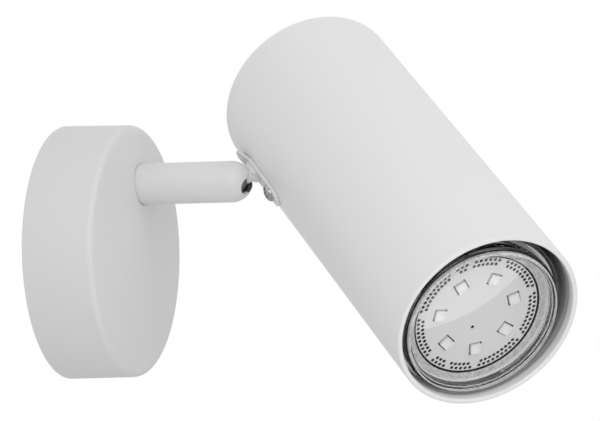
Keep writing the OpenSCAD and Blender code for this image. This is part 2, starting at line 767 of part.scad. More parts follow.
// Ceramic holder with two curved keyholes
module lamp_holder() color([0.95, 0.94, 0.9]) on_holder() difference() {
  translate([0, 0, -holder_l]) linear_extrude(holder_l) intersection() {
    circle(d = holder_w, $fn = fn_mid);
    square([holder_t, holder_w + 1], center = true);
  }
  for (a = [90, 270]) rotate([0, 0, a]) keyhole();
  for (s = [-1, 1]) {
    translate([0, s * holder_screw_spacing / 2, -holder_l - 1])
      cylinder(r = holder_screw_r + slip, h = holder_l + 2, $fn = fn_small);
    translate([0, s * holder_screw_spacing / 2, -holder_sink])
      cylinder(r = holder_head_r + slip, h = 5, $fn = fn_small);
    translate([0, s * pin_spacing / 2, -holder_l - 1])
      cylinder(r = wire_hole_r, h = holder_l - pocket_l + 2, $fn = fn_small);
  }
}

// Bent brass strips at the bottom of the two pockets
module contact_springs() color([0.85, 0.72, 0.4]) on_holder() {
  w = 2.8;
  t = 0.5;
  bottom = -pocket_l - contact_deep;
  h = clear - pin_l - slip - bottom;
  for (a = [90, 270]) rotate([0, 0, a]) translate([pin_spacing / 2 - w / 2, -w / 2, bottom]) {
    cube([w, w, t]);
    cube([t, w, h]);
    translate([0, 0, h - t]) cube([w, w, t]);
  }
}

// Screws that hold the holder to the bracket's foot
module holder_screws() color([0.78, 0.78, 0.8]) on_holder() {
  l = holder_l - holder_head_t + foot_t + 1.2;
  for (s = [-1, 1]) translate([0, s * holder_screw_spacing / 2, rest_gap - holder_sink]) {
    translate([0, 0, -l]) cylinder(r = holder_screw_r, h = l + fuse, $fn = fn_small);
    difference() {
      pan_head(holder_head_r, holder_head_t);
      translate([0, 0, holder_head_t]) cross_recess(2.6, 0.8);
    }
  }
}

// Stretch of the two leads inside the tube
module head_leads() color([0.95, 0.95, 0.93]) on_head() {
  foot_z = holder_back_z - foot_t;
  neck_x = tube_r + stand_off;
  for (s = [-1, 1]) sweep(run_points([
    [neck_x + ball_r - 1.6, s * lead_pitch, neck_z], [neck_x - 4, s * lead_pitch, neck_z],
    [tube_r, s * lead_pitch, neck_z], [tube_r - 4, s * lead_pitch, neck_z],
    [tube_r - 9, s * 1.2, neck_z - 0.5], [tube_r - 15, s * 2.4, neck_z + 1.5],
    [tube_r - 21, bulb_off_y + s * 3.6, neck_z + 7], [bulb_off_x + 2, bulb_off_y + s * 4.6, neck_z + 15],
    [bulb_off_x, bulb_off_y + s * pin_spacing / 2, foot_z - 7],
    [bulb_off_x, bulb_off_y + s * pin_spacing / 2, foot_z - 1],
    [bulb_off_x, bulb_off_y + s * pin_spacing / 2, holder_front_z - pocket_l - contact_deep - 0.2]
  ], 3), lead_r, 8);
}

// White base of the bulb
module bulb_base() color([0.95, 0.95, 0.95]) on_bulb() translate([0, 0, -bulb_l]) difference() {
  union() {
    cylinder(r = base_r, h = base_l - 2, $fn = fn_mid);
    translate([0, 0, base_l - 2 - fuse]) cylinder(r1 = base_r, r2 = base_r + 1.4, h = 2, $fn = fn_mid);
  }
  for (s = [-1, 1]) translate([0, s * pin_spacing / 2, -1]) cylinder(r = pin_r, h = 5, $fn = fn_small);
}

// Two mushroom pins
module bulb_pins() color([0.8, 0.8, 0.78]) on_bulb() translate([0, 0, -bulb_l]) {
  for (s = [-1, 1]) translate([0, s * pin_spacing / 2, 0]) {
    translate([0, 0, -pin_l]) cylinder(r = pin_r, h = pin_l + 3.9, $fn = fn_small);
    translate([0, 0, -pin_l]) cylinder(r = pin_head_r, h = pin_head_l - 0.8, $fn = fn_small);
    translate([0, 0, -pin_l + pin_head_l - 0.8 - fuse])
      cylinder(r1 = pin_head_r, r2 = pin_r, h = 0.8, $fn = fn_small);
  }
}

// Half outline of the glass cup's outside, by a smooth flare from base to rim
function flare(t, r0, r1) = r0 + (r1 - r0) * pow(sin(90 * t), 0.8);
module glass_half(inset) {
  z0 = -bulb_l + base_l + fuse;
  z1 = -bulb_rim_l;
  r0 = base_r + 0.6 - inset;
  r1 = bulb_r - 1 - inset;
  polygon(concat(
    [[0, z0]],
    [for (i = [0:16]) let (t = i / 16) [flare(t, r0, r1), z0 + (z1 - z0) * t]],
    [[0, z1]]
  ));
}

// Clear glass cup with a stepped rim that holds the lens and the cover
module bulb_glass() color([0.85, 0.9, 0.92, 0.4]) on_bulb() difference() {
  rim_edge = 0.6;
  rim_bore_r = bulb_r - rim_glass_t;
  cover_back_z = cover_z - cover_t - rest_gap;
  union() {
    rotate_extrude($fn = fn_mid) glass_half(0);
    rotate_extrude($fn = fn_big) polygon([
      [0, -bulb_rim_l - fuse], [bulb_r - 1.6, -bulb_rim_l - fuse], [bulb_r, -bulb_rim_l + 1],
      [bulb_r, glass_front_z - rim_edge], [bulb_r - rim_edge, glass_front_z], [0, glass_front_z]
    ]);
  }
  rotate_extrude($fn = fn_mid) glass_half(bulb_glass_t);
  rotate_extrude($fn = fn_big) polygon([
    [0, cover_back_z - 1], [cover_r - cover_ledge, cover_back_z - 1],
    [cover_r - cover_ledge, cover_back_z],
    [cover_r + slip, cover_back_z], [cover_r + slip, cover_z + 0.6], [rim_bore_r - 0.8, cover_z + 0.6],
    [rim_bore_r, cover_z + 1.4], [rim_bore_r, 1], [0, 1]
  ]);
}

// Front lens on the cup's edge, with a raised ring
module bulb_lens() color([0.9, 0.94, 0.96, 0.35]) on_bulb() rotate_extrude($fn = fn_big) polygon([
  [0, -lens_t - lens_ring_h], [lens_r, -lens_t - lens_ring_h], [lens_r, -lens_ring_h],
  [lens_r - 0.3, -0.1], [lens_r - 0.6, 0], [lens_r - 1.2, 0],
  [lens_r - 1.7, -lens_ring_h], [0, -lens_ring_h]
]);

// White cover with windows over the chips and two staggered rows of vents
module led_cover() color([0.94, 0.94, 0.94]) on_bulb() translate([0, 0, cover_z - cover_t]) difference() {
  cylinder(r = cover_r, h = cover_t, $fn = fn_big);
  for (w = [0:windows - 1]) rotate([0, 0, window_turn + w * sector]) {
    translate([window_r - window_w / 2, -window_w / 2, -1]) cube([window_w, window_w, cover_t + 2]);
    rotate([0, 0, sector / 2]) {
      vent_row(vent_r_out, vent_out_count, [for (b = vent_blanks) if (b[0] == w) b[1]]);
      vent_row(vent_r_in, vent_out_count - 1, [for (b = vent_blanks) if (b[0] == w) b[2]]);
    }
  }
  rotate([0, 0, 60]) translate([4.4, 0, -1]) cylinder(d = vent_d, h = cover_t + 2, $fn = 16);
}

// One row of vent holes in a sector, less its blanks
module vent_row(r, count, blanks) {
  for (k = [0:count - 1]) if (len([for (b = blanks) if (b == k) b]) == 0)
    rotate([0, 0, (k - (count - 1) / 2) * vent_step]) translate([r, 0, -1])
      cylinder(d = vent_d, h = cover_t + 2, $fn = 16);
}

// Round board behind the cover
module led_board() color([0.85, 0.85, 0.83]) on_bulb()
  translate([0, 0, cover_z - cover_t - board_gap - board_t]) difference() {
    cylinder(r = board_r, h = board_t, $fn = fn_big);
    translate([0, 0, -1]) cylinder(r = 2.5, h = board_t + 2, $fn = fn_small);
  }

// Light chips on the board, one under each window
module led_chips() color([0.95, 0.93, 0.7]) on_bulb() translate([0, 0, cover_z - cover_t - board_gap]) {
  for (w = [0:windows - 1]) rotate([0, 0, window_turn + w * sector])
    translate([window_r - chip_w / 2, -chip_w / 2, 0]) cube([chip_w, chip_w, chip_t]);
}

canopy();
wall_bracket();
canopy_screws();
lock_washer();
terminal_block();
terminal_tubes();
terminal_screws();
block_screw();
earth_screw();
canopy_leads();
earth_lead();
arm_tube();
arm_bush();
arm_nut();
ball_seat();
seat_spring();
arm_leads();
knuckle();
plate_screw();
head_tube();
rear_cap();
holder_bracket();
lamp_holder();
contact_springs();
holder_screws();
head_leads();
bulb_base();
bulb_pins();
bulb_glass();
bulb_lens();
led_cover();
led_board();
led_chips();
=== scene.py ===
"""Adjustable wall spotlight: finished pieces, materials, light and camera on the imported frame.

Lengths are in millimetres in every class and become metres where a piece is placed. Only the
studio's lengths are in metres, apart from the size of its paper's fibre.
"""

import json
import logging
import math
from dataclasses import dataclass
from enum import Enum
from typing import Callable, Sequence

import bmesh
import bpy
from mathutils import Matrix, Vector


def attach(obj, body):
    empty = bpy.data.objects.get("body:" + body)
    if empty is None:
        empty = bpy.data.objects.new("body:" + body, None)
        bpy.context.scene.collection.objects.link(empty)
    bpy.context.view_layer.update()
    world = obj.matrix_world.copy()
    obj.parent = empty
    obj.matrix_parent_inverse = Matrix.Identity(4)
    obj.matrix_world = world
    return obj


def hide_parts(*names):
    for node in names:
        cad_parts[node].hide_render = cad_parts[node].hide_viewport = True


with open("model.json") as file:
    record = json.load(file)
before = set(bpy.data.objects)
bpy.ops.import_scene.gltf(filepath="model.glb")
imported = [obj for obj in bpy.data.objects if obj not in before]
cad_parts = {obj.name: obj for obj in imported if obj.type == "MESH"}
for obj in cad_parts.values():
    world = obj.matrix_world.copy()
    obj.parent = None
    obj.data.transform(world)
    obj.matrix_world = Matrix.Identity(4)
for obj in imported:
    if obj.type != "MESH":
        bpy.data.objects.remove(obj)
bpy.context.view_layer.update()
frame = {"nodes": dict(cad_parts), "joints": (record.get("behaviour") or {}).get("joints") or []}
LOG = logging.getLogger("spotlight")
MM = 0.001
WHITE = (1.0, 1.0, 1.0, 1.0)
GLASS_INDEX = 1.45
ON_AXIS = 1e-6
DOUBLES = 1e-4
TOUCH = 1e-3
PAST = 4.0
Point2 = tuple[float, float]
Corner = tuple[float, float, float]
Colour = tuple[float, float, float]


class Body(Enum):
    """The rigid bodies of the frame."""

    BASE = "base"
    ARM = "arm"
    HEAD = "head"
    BULB = "bulb"


class Cut(Enum):
    """Ways to combine two closed forms."""

    AWAY = "DIFFERENCE"
    TOGETHER = "UNION"


class Wire:
    """An output socket that takes part in plain arithmetic."""

    def __init__(self, bench: "Bench", socket: bpy.types.NodeSocket) -> None:
        """Hold a socket of a bench's tree."""
        self.bench = bench
        self.socket = socket

    def out(self, name: str | int) -> "Wire":
        """Another output of the same node."""
        return Wire(self.bench, self.socket.node.outputs[name])

    def _math(self, operation: str, *values: "Wire | float") -> "Wire":
        """Add a Math node on the values."""
        return self.bench.add("ShaderNodeMath", {"operation": operation}, dict(enumerate(values)))

    def __add__(self, other: "Wire | float") -> "Wire":
        """self + other."""
        return self._math("ADD", self, other)

    def __radd__(self, other: float) -> "Wire":
        """other + self."""
        return self._math("ADD", other, self)

    def __sub__(self, other: "Wire | float") -> "Wire":
        """self - other."""
        return self._math("SUBTRACT", self, other)

    def __rsub__(self, other: float) -> "Wire":
        """other - self."""
        return self._math("SUBTRACT", other, self)

    def __mul__(self, other: "Wire | float") -> "Wire":
        """self * other."""
        return self._math("MULTIPLY", self, other)

    def __rmul__(self, other: float) -> "Wire":
        """other * self."""
        return self._math("MULTIPLY", other, self)

    def __truediv__(self, other: "Wire | float") -> "Wire":
        """self / other."""
        return self._math("DIVIDE", self, other)

    def __gt__(self, other: "Wire | float") -> "Wire":
        """1 where self is above other."""
        return self._math("GREATER_THAN", self, other)

    def equals(self, other: "Wire | float") -> "Wire":
        """1 where self is within a half of other."""
        return self._math("COMPARE", self, other, 0.5)

    def floor(self) -> "Wire":
        """The whole number at or below self."""
        return self._math("FLOOR", self)

    def sine(self) -> "Wire":
        """Sine of an angle in radians."""
        return self._math("SINE", self)

    def cosine(self) -> "Wire":
        """Cosine of an angle in radians."""
        return self._math("COSINE", self)

    def top(self, other: "Wire | float") -> "Wire":
        """The larger of two values."""
        return self._math("MAXIMUM", self, other)


class Bench:
    """One node tree, and the one way in which its nodes are added."""

    def __init__(self, tree: bpy.types.NodeTree) -> None:
        """Start on an emptied tree."""
        self.tree = tree
        tree.nodes.clear()

    def add(self, kind: str, settings: dict | None = None, sockets: dict | None = None) -> Wire:
        """Add a node.

        Args:
            kind: The node's type.
            settings: Its properties, set first; "stops" are a ramp's (place, colour) pairs.
            sockets: Values or wires by the input's name or number.

        Returns:
            The node's first output, or its first input where it has no output.
        """
        node = self.tree.nodes.new(kind)
        for name, value in (settings or {}).items():
            if name == "stops":
                ramp = node.color_ramp.elements
                while len(ramp) < len(value):
                    ramp.new(0.5)
                for element, (place, colour) in zip(ramp, value):
                    element.position = place
                    element.color = colour
            else:
                setattr(node, name, value)
        for name, value in (sockets or {}).items():
            if isinstance(value, Wire):
                self.tree.links.new(value.socket, node.inputs[name])
            else:
                node.inputs[name].default_value = value
        return Wire(self, node.outputs[0] if len(node.outputs) else node.inputs[0])

    def join(self, *parts: Wire) -> Wire:
        """Join pieces of geometry.

        Args:
            parts: The pieces.

        Returns:
            All of them as one.
        """
        joined = self.add("GeometryNodeJoinGeometry")
        for part in parts:
            self.tree.links.new(part.socket, joined.socket.node.inputs[0])
        return joined

    def principled(self, **inputs: Wire | float) -> Wire:
        """The main shader, whose inputs are named with underscores."""
        named = {name.replace("_", " "): value for name, value in inputs.items()}
        return self.add("ShaderNodeBsdfPrincipled", {}, named)

    def surface(self, shader: Wire) -> None:
        """End a material's tree on a shader."""
        self.add("ShaderNodeOutputMaterial", {}, {"Surface": shader})

    def object_point(self) -> Wire:
        """Object coordinates, in metres of the shared frame."""
        return self.add("ShaderNodeTexCoord").out("Object")

    def noise(self, point: Wire, size: float, detail: float = 2.0) -> Wire:
        """Noise from 0 to 1 whose features are about size across."""
        scale = 1 / (size * MM)
        return self.add(
            "ShaderNodeTexNoise", {}, {"Vector": point, "Scale": scale, "Detail": detail}
        )

    def blend(self, mask: Wire, low: Colour, high: Colour) -> Wire:
        """A colour between two, by a mask."""
        sockets = {0: mask, 6: (*low, 1.0), 7: (*high, 1.0)}
        return self.add("ShaderNodeMix", {"data_type": "RGBA"}, sockets).out(2)

    def bump(self, height: Wire, depth: float, strength: float) -> Wire:
        """A normal from a height of 0 to 1 that stands for a depth."""
        sockets = {"Height": height, "Distance": depth * MM, "Strength": strength}
        return self.add("ShaderNodeBump", {}, sockets)


def new_material(name: str) -> tuple[bpy.types.Material, Bench]:
    """Make a material.

    Args:
        name: Its name.

    Returns:
        The material, and the bench of its nodes.
    """
    made = bpy.data.materials.new(name)
    made.use_nodes = True
    return made, Bench(made.node_tree)


def grey(tone: float) -> Colour:
    """A neutral colour."""
    return (tone, tone, tone)


@dataclass(frozen=True)
class Finish:
    """A surface finish, made into a material once."""

    name: str
    slot: str

    def material(self) -> bpy.types.Material:
        """The finish's material.

        Returns:
            The material, made at its first use.
        """
        made = bpy.data.materials.get(self.name)
        if made is None:
            made, bench = new_material(self.name)
            bench.surface(self.shader(bench))
        return made

    def shader(self, bench: Bench) -> Wire:
        """The finish's shader; each kind of finish has its own."""
        raise NotImplementedError


@dataclass(frozen=True)
class PowderCoat(Finish):
    """Baked powder paint: fine orange peel, soft gloss, faint clouding."""

    tone: float = 0.8
    rough: float = 0.42
    peel: float = 1.5
    cloud: float = 45.0
    dust: float = 0.45
    fade: float = 0.985
    relief: float = 0.012

    def shader(self, bench: Bench) -> Wire:
        """The paint's colour, gloss and peel.

        Args:
            bench: Where its nodes go.

        Returns:
            The shader.
        """
        at = bench.object_point()
        cloud = bench.noise(at, self.cloud, 3.0)
        peel = bench.noise(at, self.peel, 1.5)
        dust = bench.noise(at, self.dust, 1.0)
        return bench.principled(
            Base_Color=bench.blend(cloud, grey(self.tone * self.fade), grey(self.tone)),
            Roughness=self.rough + (cloud - 0.5) * 0.05 + (dust - 0.5) * 0.08,
            Normal=bench.bump(peel * 0.8 + dust * 0.2, self.relief, 0.5),
            Specular_IOR_Level=0.5,
        )


@dataclass(frozen=True)
class TubeInsideShade(Finish):
    """Powder paint inside a tube, darkened with the depth from the mouth as painted shade, with a
    painted reflection band.
    """

    reach: float = 8.0
    # Tone by depth: darker deeper in as painted shade; the dip at 0.38 is a painted reflection of
    # the bulb's rim.
    shade_tones: tuple[Point2, ...] = (
        (0.0, 0.84), (0.26, 0.8), (0.38, 0.38), (0.5, 0.54), (0.6, 0.31), (1.0, 0.29)
    )
    drift: float = 6.0
    grain: float = 0.6
    relief: float = 0.012

    def shader(self, bench: Bench) -> Wire:
        """Painted shade and a painted reflection band down the tube, by the piece's own "depth" in
        millimetres.

        Args:
            bench: Where its nodes go.

        Returns:
            The shader.
        """
        at = bench.object_point()
        drift = bench.noise(at, self.drift, 3.0)
        grain = bench.noise(at, self.grain)
        depth = bench.add("ShaderNodeAttribute", {"attribute_name": "depth"}).out("Fac")
        mask = depth * (1.0 / self.reach) + (drift - 0.5) * 0.04
        stops = [(place, (*grey(tone), 1.0)) for place, tone in self.shade_tones]
        return bench.principled(
            Base_Color=bench.add("ShaderNodeValToRGB", {"stops": stops}, {"Fac": mask}),
            Roughness=0.5 + grain * 0.12,
            Normal=bench.bump(grain, self.relief, 0.4),
            Specular_IOR_Level=0.2,
        )


@dataclass(frozen=True)
class Frosted(Finish):
    """Ground glass: a pale scattering face with a streaked grain, also laid in pale rings on the
    bulb as painted highlights.
    """

    low: float = 0.45
    high: float = 1.0
    streak: float = 0.8
    cloud: float = 5.0
    contrast: float = 2.4
    relief: float = 0.06

    def shader(self, bench: Bench) -> Wire:
        """The ground face's streaks.

        Args:
            bench: Where its nodes go.

        Returns:
            The shader.
        """
        at = bench.object_point()
        streak = bench.noise(at, self.streak, 3.0)
        cloud = bench.noise(at, self.cloud)
        mask = (streak * 0.7 + cloud * 0.3 - 0.5) * self.contrast + 0.5
        return bench.principled(
            Base_Color=bench.blend(mask, grey(self.low), grey(self.high)),
            Roughness=0.3 + streak * 0.4,
            Normal=bench.bump(streak, self.relief, 0.6),
            Transmission_Weight=0.2,
            IOR=GLASS_INDEX,
        )


@dataclass(frozen=True)
class Plating(Finish):
    """Plated or uncoated metal with drawn scratches and clouded tarnish; the screw's dark clouds
    are painted reflection and the ball's dark tone is painted shade.
    """

    light: Colour = (0.72, 0.73, 0.74)
    dark: Colour = (0.55, 0.56, 0.58)
    rough: float = 0.32
    tarnish_and_reflection: float = 6.0
    scratch: float = 1.2
    drawn: float = 9.0
    relief: float = 0.01

    def shader(self, bench: Bench) -> Wire:
        """The metal's colour, gloss and scratches.

        Args:
            bench: Where its nodes go.

        Returns:
            The shader.
        """
        at = bench.object_point()
        cloud = bench.noise(at, self.tarnish_and_reflection, 4.0)
        stretch = {"Vector": at, "Scale": (1.0, self.drawn, 1.0)}
        scratch = bench.noise(bench.add("ShaderNodeMapping", {}, stretch), self.scratch, 3.0)
        return bench.principled(
            Base_Color=bench.blend(cloud, self.dark, self.light),
            Roughness=self.rough + (cloud - 0.5) * 0.12 + (scratch - 0.5) * 0.1,
            Normal=bench.bump(scratch, self.relief, 0.4),
            Metallic=1.0,
        )


@dataclass(frozen=True)
class Moulded(Finish):
    """Moulded plastic or glazed ceramic with a fine eggshell surface."""

    colour: Colour = (0.85, 0.85, 0.8)
    rough: float = 0.4
    speck: float = 0.04
    gloss: float = 0.5
    cloud: float = 14.0
    grain: float = 0.7
    relief: float = 0.008

    def shader(self, bench: Bench) -> Wire:
        """The moulding's colour, gloss and eggshell.

        Args:
            bench: Where its nodes go.

        Returns:
            The shader.
        """
        at = bench.object_point()
        cloud = bench.noise(at, self.cloud, 3.0)
        grain = bench.noise(at, self.grain)
        low = tuple(c * (1 - self.speck) for c in self.colour)
        return bench.principled(
            Base_Color=bench.blend(cloud * 0.6 + grain * 0.4, low, self.colour),
            Roughness=self.rough + (grain - 0.5) * 0.12,
            Normal=bench.bump(grain, self.relief, 0.5),
            Specular_IOR_Level=self.gloss,
        )


@dataclass(frozen=True)
class Sleeve(Finish):
    """Woven sleeve of a lead, with a second colour along one side."""

    first: Colour = (0.82, 0.81, 0.77)
    second: Colour = (0.72, 0.71, 0.67)
    pitch: float = 0.7
    relief: float = 0.03

    def shader(self, bench: Bench) -> Wire:
        """The weave, which follows the lead's own coordinates.

        Args:
            bench: Where its nodes go.

        Returns:
            The shader.
        """
        place = bench.add("ShaderNodeUVMap", {"uv_map": "UVMap"})
        parts = bench.add("ShaderNodeSeparateXYZ", {}, {0: place})
        along, side = parts.out("X"), parts.out("Y")
        weave = (along * (2 * math.pi / (self.pitch * MM))).sine() * 0.25 + 0.5
        mask = (side > 0.5) * 0.85 + weave * 0.15
        return bench.principled(
            Base_Color=bench.blend(mask, self.first, self.second),
            Roughness=0.6 + weave * 0.15,
            Normal=bench.bump(weave, self.relief, 0.4),
        )


@dataclass(frozen=True)
class ClearGlass(Finish):
    """Clear moulded glass with faint ripples."""

    low: Colour = (0.93, 0.95, 0.95)
    high: Colour = (0.99, 1.0, 1.0)
    ripple: float = 3.0
    haze: float = 9.0
    rough: float = 0.02
    relief: float = 0.02

    def shader(self, bench: Bench) -> Wire:
        """The glass's ripple and its fine haze.

        Args:
            bench: Where its nodes go.

        Returns:
            The shader.
        """
        at = bench.object_point()
        wave = bench.noise(at, self.ripple)
        haze = bench.noise(at, self.haze, 3.0)
        return bench.principled(
            Base_Color=bench.blend(wave, self.low, self.high),
            Roughness=self.rough + haze * 0.03,
            Normal=bench.bump(wave, self.relief, 0.15),
            Transmission_Weight=1.0,
            IOR=GLASS_INDEX,
        )


@dataclass(frozen=True)
class ThinPane(Finish):
    """Thin clear front: light passes straight through, and the surface only adds its gloss."""

    tint: float = 0.97
    rough: float = 0.01
    cloud: float = 12.0
    strength: float = 0.5

    def shader(self, bench: Bench) -> Wire:
        """A clear shader under a mirror that grows towards the edge.

        Args:
            bench: Where its nodes go.

        Returns:
            The shader.
        """
        cloud = bench.noise(bench.object_point(), self.cloud)
        clear = bench.add("ShaderNodeBsdfTransparent", {}, {"Color": (*grey(self.tint), 1.0)})
        mirror = {"Color": WHITE, "Roughness": self.rough}
        gloss = bench.add("ShaderNodeBsdfGlossy", {}, mirror)
        edge = bench.add("ShaderNodeFresnel", {}, {"IOR": GLASS_INDEX})
        front = 1.0 - bench.add("ShaderNodeNewGeometry").out("Backfacing")
        weight = edge * front * (self.strength + cloud * 0.06)
        return bench.add("ShaderNodeMixShader", {}, {0: weight, 1: clear, 2: gloss})


@dataclass(frozen=True)
class Phosphor(Finish):
    """Pale face of a light chip, with a cloudy fill."""

    low: Colour = (0.9, 0.9, 0.89)
    high: Colour = (0.95, 0.95, 0.94)
    grain: float = 0.5
    relief: float = 0.01

    def shader(self, bench: Bench) -> Wire:
        """The chip's cloudy fill.

        Args:
            bench: Where its nodes go.

        Returns:
            The shader.
        """
        grain = bench.noise(bench.object_point(), self.grain)
        return bench.principled(
            Base_Color=bench.blend(grain, self.low, self.high),
            Roughness=0.35 + grain * 0.2,
            Normal=bench.bump(grain, self.relief, 0.4),
        )


# The canopy's and the arm's tones are set darker than the tube's, though all wear the same white
# powder coat: painted shade.
CANOPY_COAT = PowderCoat("canopy_powder_coat", "coat", tone=0.74, rough=0.5)
ARM_COAT = PowderCoat("arm_powder_coat", "coat", tone=0.76, rough=0.45, peel=1.1)
TUBE_COAT = PowderCoat("tube_powder_coat", "head_coat", tone=0.84, rough=0.4)
# Painted shade and a painted reflection band inside the tube, by depth from the mouth.
TUBE_INSIDE_SHADE = TubeInsideShade("tube_inside_painted_shade", "head_coat")
ZINC = Plating("zinc_plate", "zinc")
# Nickel plating whose small dark clouds are painted reflections of dark surroundings.
NICKEL_PAINTED_REFLECTION = Plating("screw_nickel_painted_reflection", "chrome", (0.72, 0.72, 0.73), (0.1, 0.1, 0.11), 0.14, 0.9)
# Steel ball darkened past its own tone to stand for the shade inside the slot: painted shade.
SHADED_BALL_STEEL = Plating("ball_steel_painted_shade", "coat", (0.3, 0.3, 0.31), (0.1, 0.1, 0.11), 0.35, 2.0)
# Near-black painted shade inside the arm's bore.
BORE_PAINTED_SHADE = Moulded("arm_bore_painted_shade", "coat", grey(0.1), 0.6, 0.3)
BRASS = Plating("brass_strip", "brass", (0.85, 0.66, 0.33), (0.6, 0.44, 0.2), 0.3, 4.0)
SPRING_STEEL = Plating("spring_wire", "spring", (0.62, 0.62, 0.64), (0.4, 0.4, 0.42), 0.28, 3.0)
BLOCK_PLASTIC = Moulded("terminal_moulding", "block", (0.86, 0.85, 0.78), 0.42)
SEAT_NYLON = Moulded("seat_nylon", "seat", (0.82, 0.8, 0.72), 0.45)
STEATITE = Moulded("steatite", "ceramic", (0.84, 0.82, 0.75), 0.28, 0.08)
BASE_PLASTIC = Moulded("bulb_base_moulding", "base", grey(0.86), 0.3)
COVER_PLASTIC = Moulded("cover_moulding", "cover", grey(0.86), 0.5, 0.03, 0.1)
# Near-black coat of the board; on the bulb's glass the same finish is painted shade.
BOARD_AND_GLASS_SHADE = Moulded("board_coat_and_painted_shade", "board", (0.02, 0.022, 0.025), 0.7, 0.1, 0.05)
WHITE_SLEEVE = Sleeve("white_sleeve", "sleeve")
EARTH_SLEEVE = Sleeve("earth_sleeve", "earth_sleeve", (0.1, 0.36, 0.1), (0.75, 0.65, 0.05))
CLEAR_GLASS = ClearGlass("bulb_glass_clear", "glass")
LENS_GLASS = ThinPane("lens_clear", "glass")
# Frosted band on the cup's ledge; on the lens's edge it is a painted highlight ring.
FROSTED_AND_HIGHLIGHT_GLASS = Frosted("frosted_glass_and_painted_highlight", "glass")
# Pale frosted rings that are painted highlights on the glass steps.
GLINT_RING_GLASS = Frosted("glass_painted_highlight_rings", "glass", low=0.85)
PHOSPHOR = Phosphor("chip_phosphor", "phosphor")

NODES_OF: dict[Finish, tuple[str, ...]] = {
    CANOPY_COAT: ("canopy",),
    ARM_COAT: ("arm_tube", "knuckle"),
    TUBE_COAT: ("head_tube", "rear_cap"),
    ZINC: (
        "wall_bracket", "canopy_screws", "lock_washer", "terminal_screws", "block_screw",
        "arm_bush", "arm_nut", "holder_bracket", "holder_screws", "bulb_pins",
    ),
    NICKEL_PAINTED_REFLECTION: ("plate_screw",),
    BRASS: ("terminal_tubes", "earth_screw", "contact_springs"),
    SPRING_STEEL: ("seat_spring",),
    BLOCK_PLASTIC: ("terminal_block",),
    SEAT_NYLON: ("ball_seat",),
    STEATITE: ("lamp_holder",),
    BASE_PLASTIC: ("bulb_base",),
    COVER_PLASTIC: ("led_cover",),
    BOARD_AND_GLASS_SHADE: ("led_board",),
    WHITE_SLEEVE: ("canopy_leads", "arm_leads", "head_leads"),
    EARTH_SLEEVE: ("earth_lead",),
    CLEAR_GLASS: ("bulb_glass",),
    LENS_GLASS: ("bulb_lens",),
    PHOSPHOR: ("led_chips",),
}


def shift(x: float = 0.0, y: float = 0.0, z: float = 0.0) -> Matrix:
    """A move in a local frame."""
    return Matrix.Translation((x, y, z))


def turn(degrees: float, axis: str) -> Matrix:
    """A turn about a local axis."""
    return Matrix.Rotation(math.radians(degrees), 4, axis)


def rounded(corners: Sequence[Corner], steps: int = 5) -> list[Point2]:
    """Round an outline's corners.

    Args:
        corners: Each corner's place and radius, in order round the closed outline.
        steps: Steps in each round.

    Returns:
        The outline's points.
    """
    straight = math.pi / 2 - 0.01
    points: list[Point2] = []
    for i, (x, y, radius) in enumerate(corners):
        here = Vector((x, y))
        before = (Vector(corners[i - 1][:2]) - here).normalized()
        after = (Vector(corners[(i + 1) % len(corners)][:2]) - here).normalized()
        half = before.angle(after) / 2 if radius > 0 else 0.0
        if radius <= 0 or half > straight:
            points.append((x, y))
            continue
        centre = here + (before + after).normalized() * (radius / math.sin(half))
        first = here + before * (radius / math.tan(half)) - centre
        last = here + after * (radius / math.tan(half)) - centre
        swing = math.atan2(first.x * last.y - first.y * last.x, first.dot(last))
        for k in range(steps + 1):
            spoke = Matrix.Rotation(swing * k / steps, 2) @ first
            points.append(tuple(centre + spoke))
    return points


def arc(centre: Point2, radius: float, start: float, end: float, steps: int) -> list[Point2]:
    """Points on an arc, from start to end in degrees."""
    angles = [math.radians(start + (end - start) * k / steps) for k in range(steps + 1)]
    return [(centre[0] + radius * math.cos(a), centre[1] + radius * math.sin(a)) for a in angles]


def section(low: Point2, high: Point2) -> Callable[[Vector], bool]:
    """A test for places between two corners of a turned form's half section."""
    return lambda at: low[0] < math.hypot(at.x, at.y) < high[0] and low[1] < at.z < high[1]


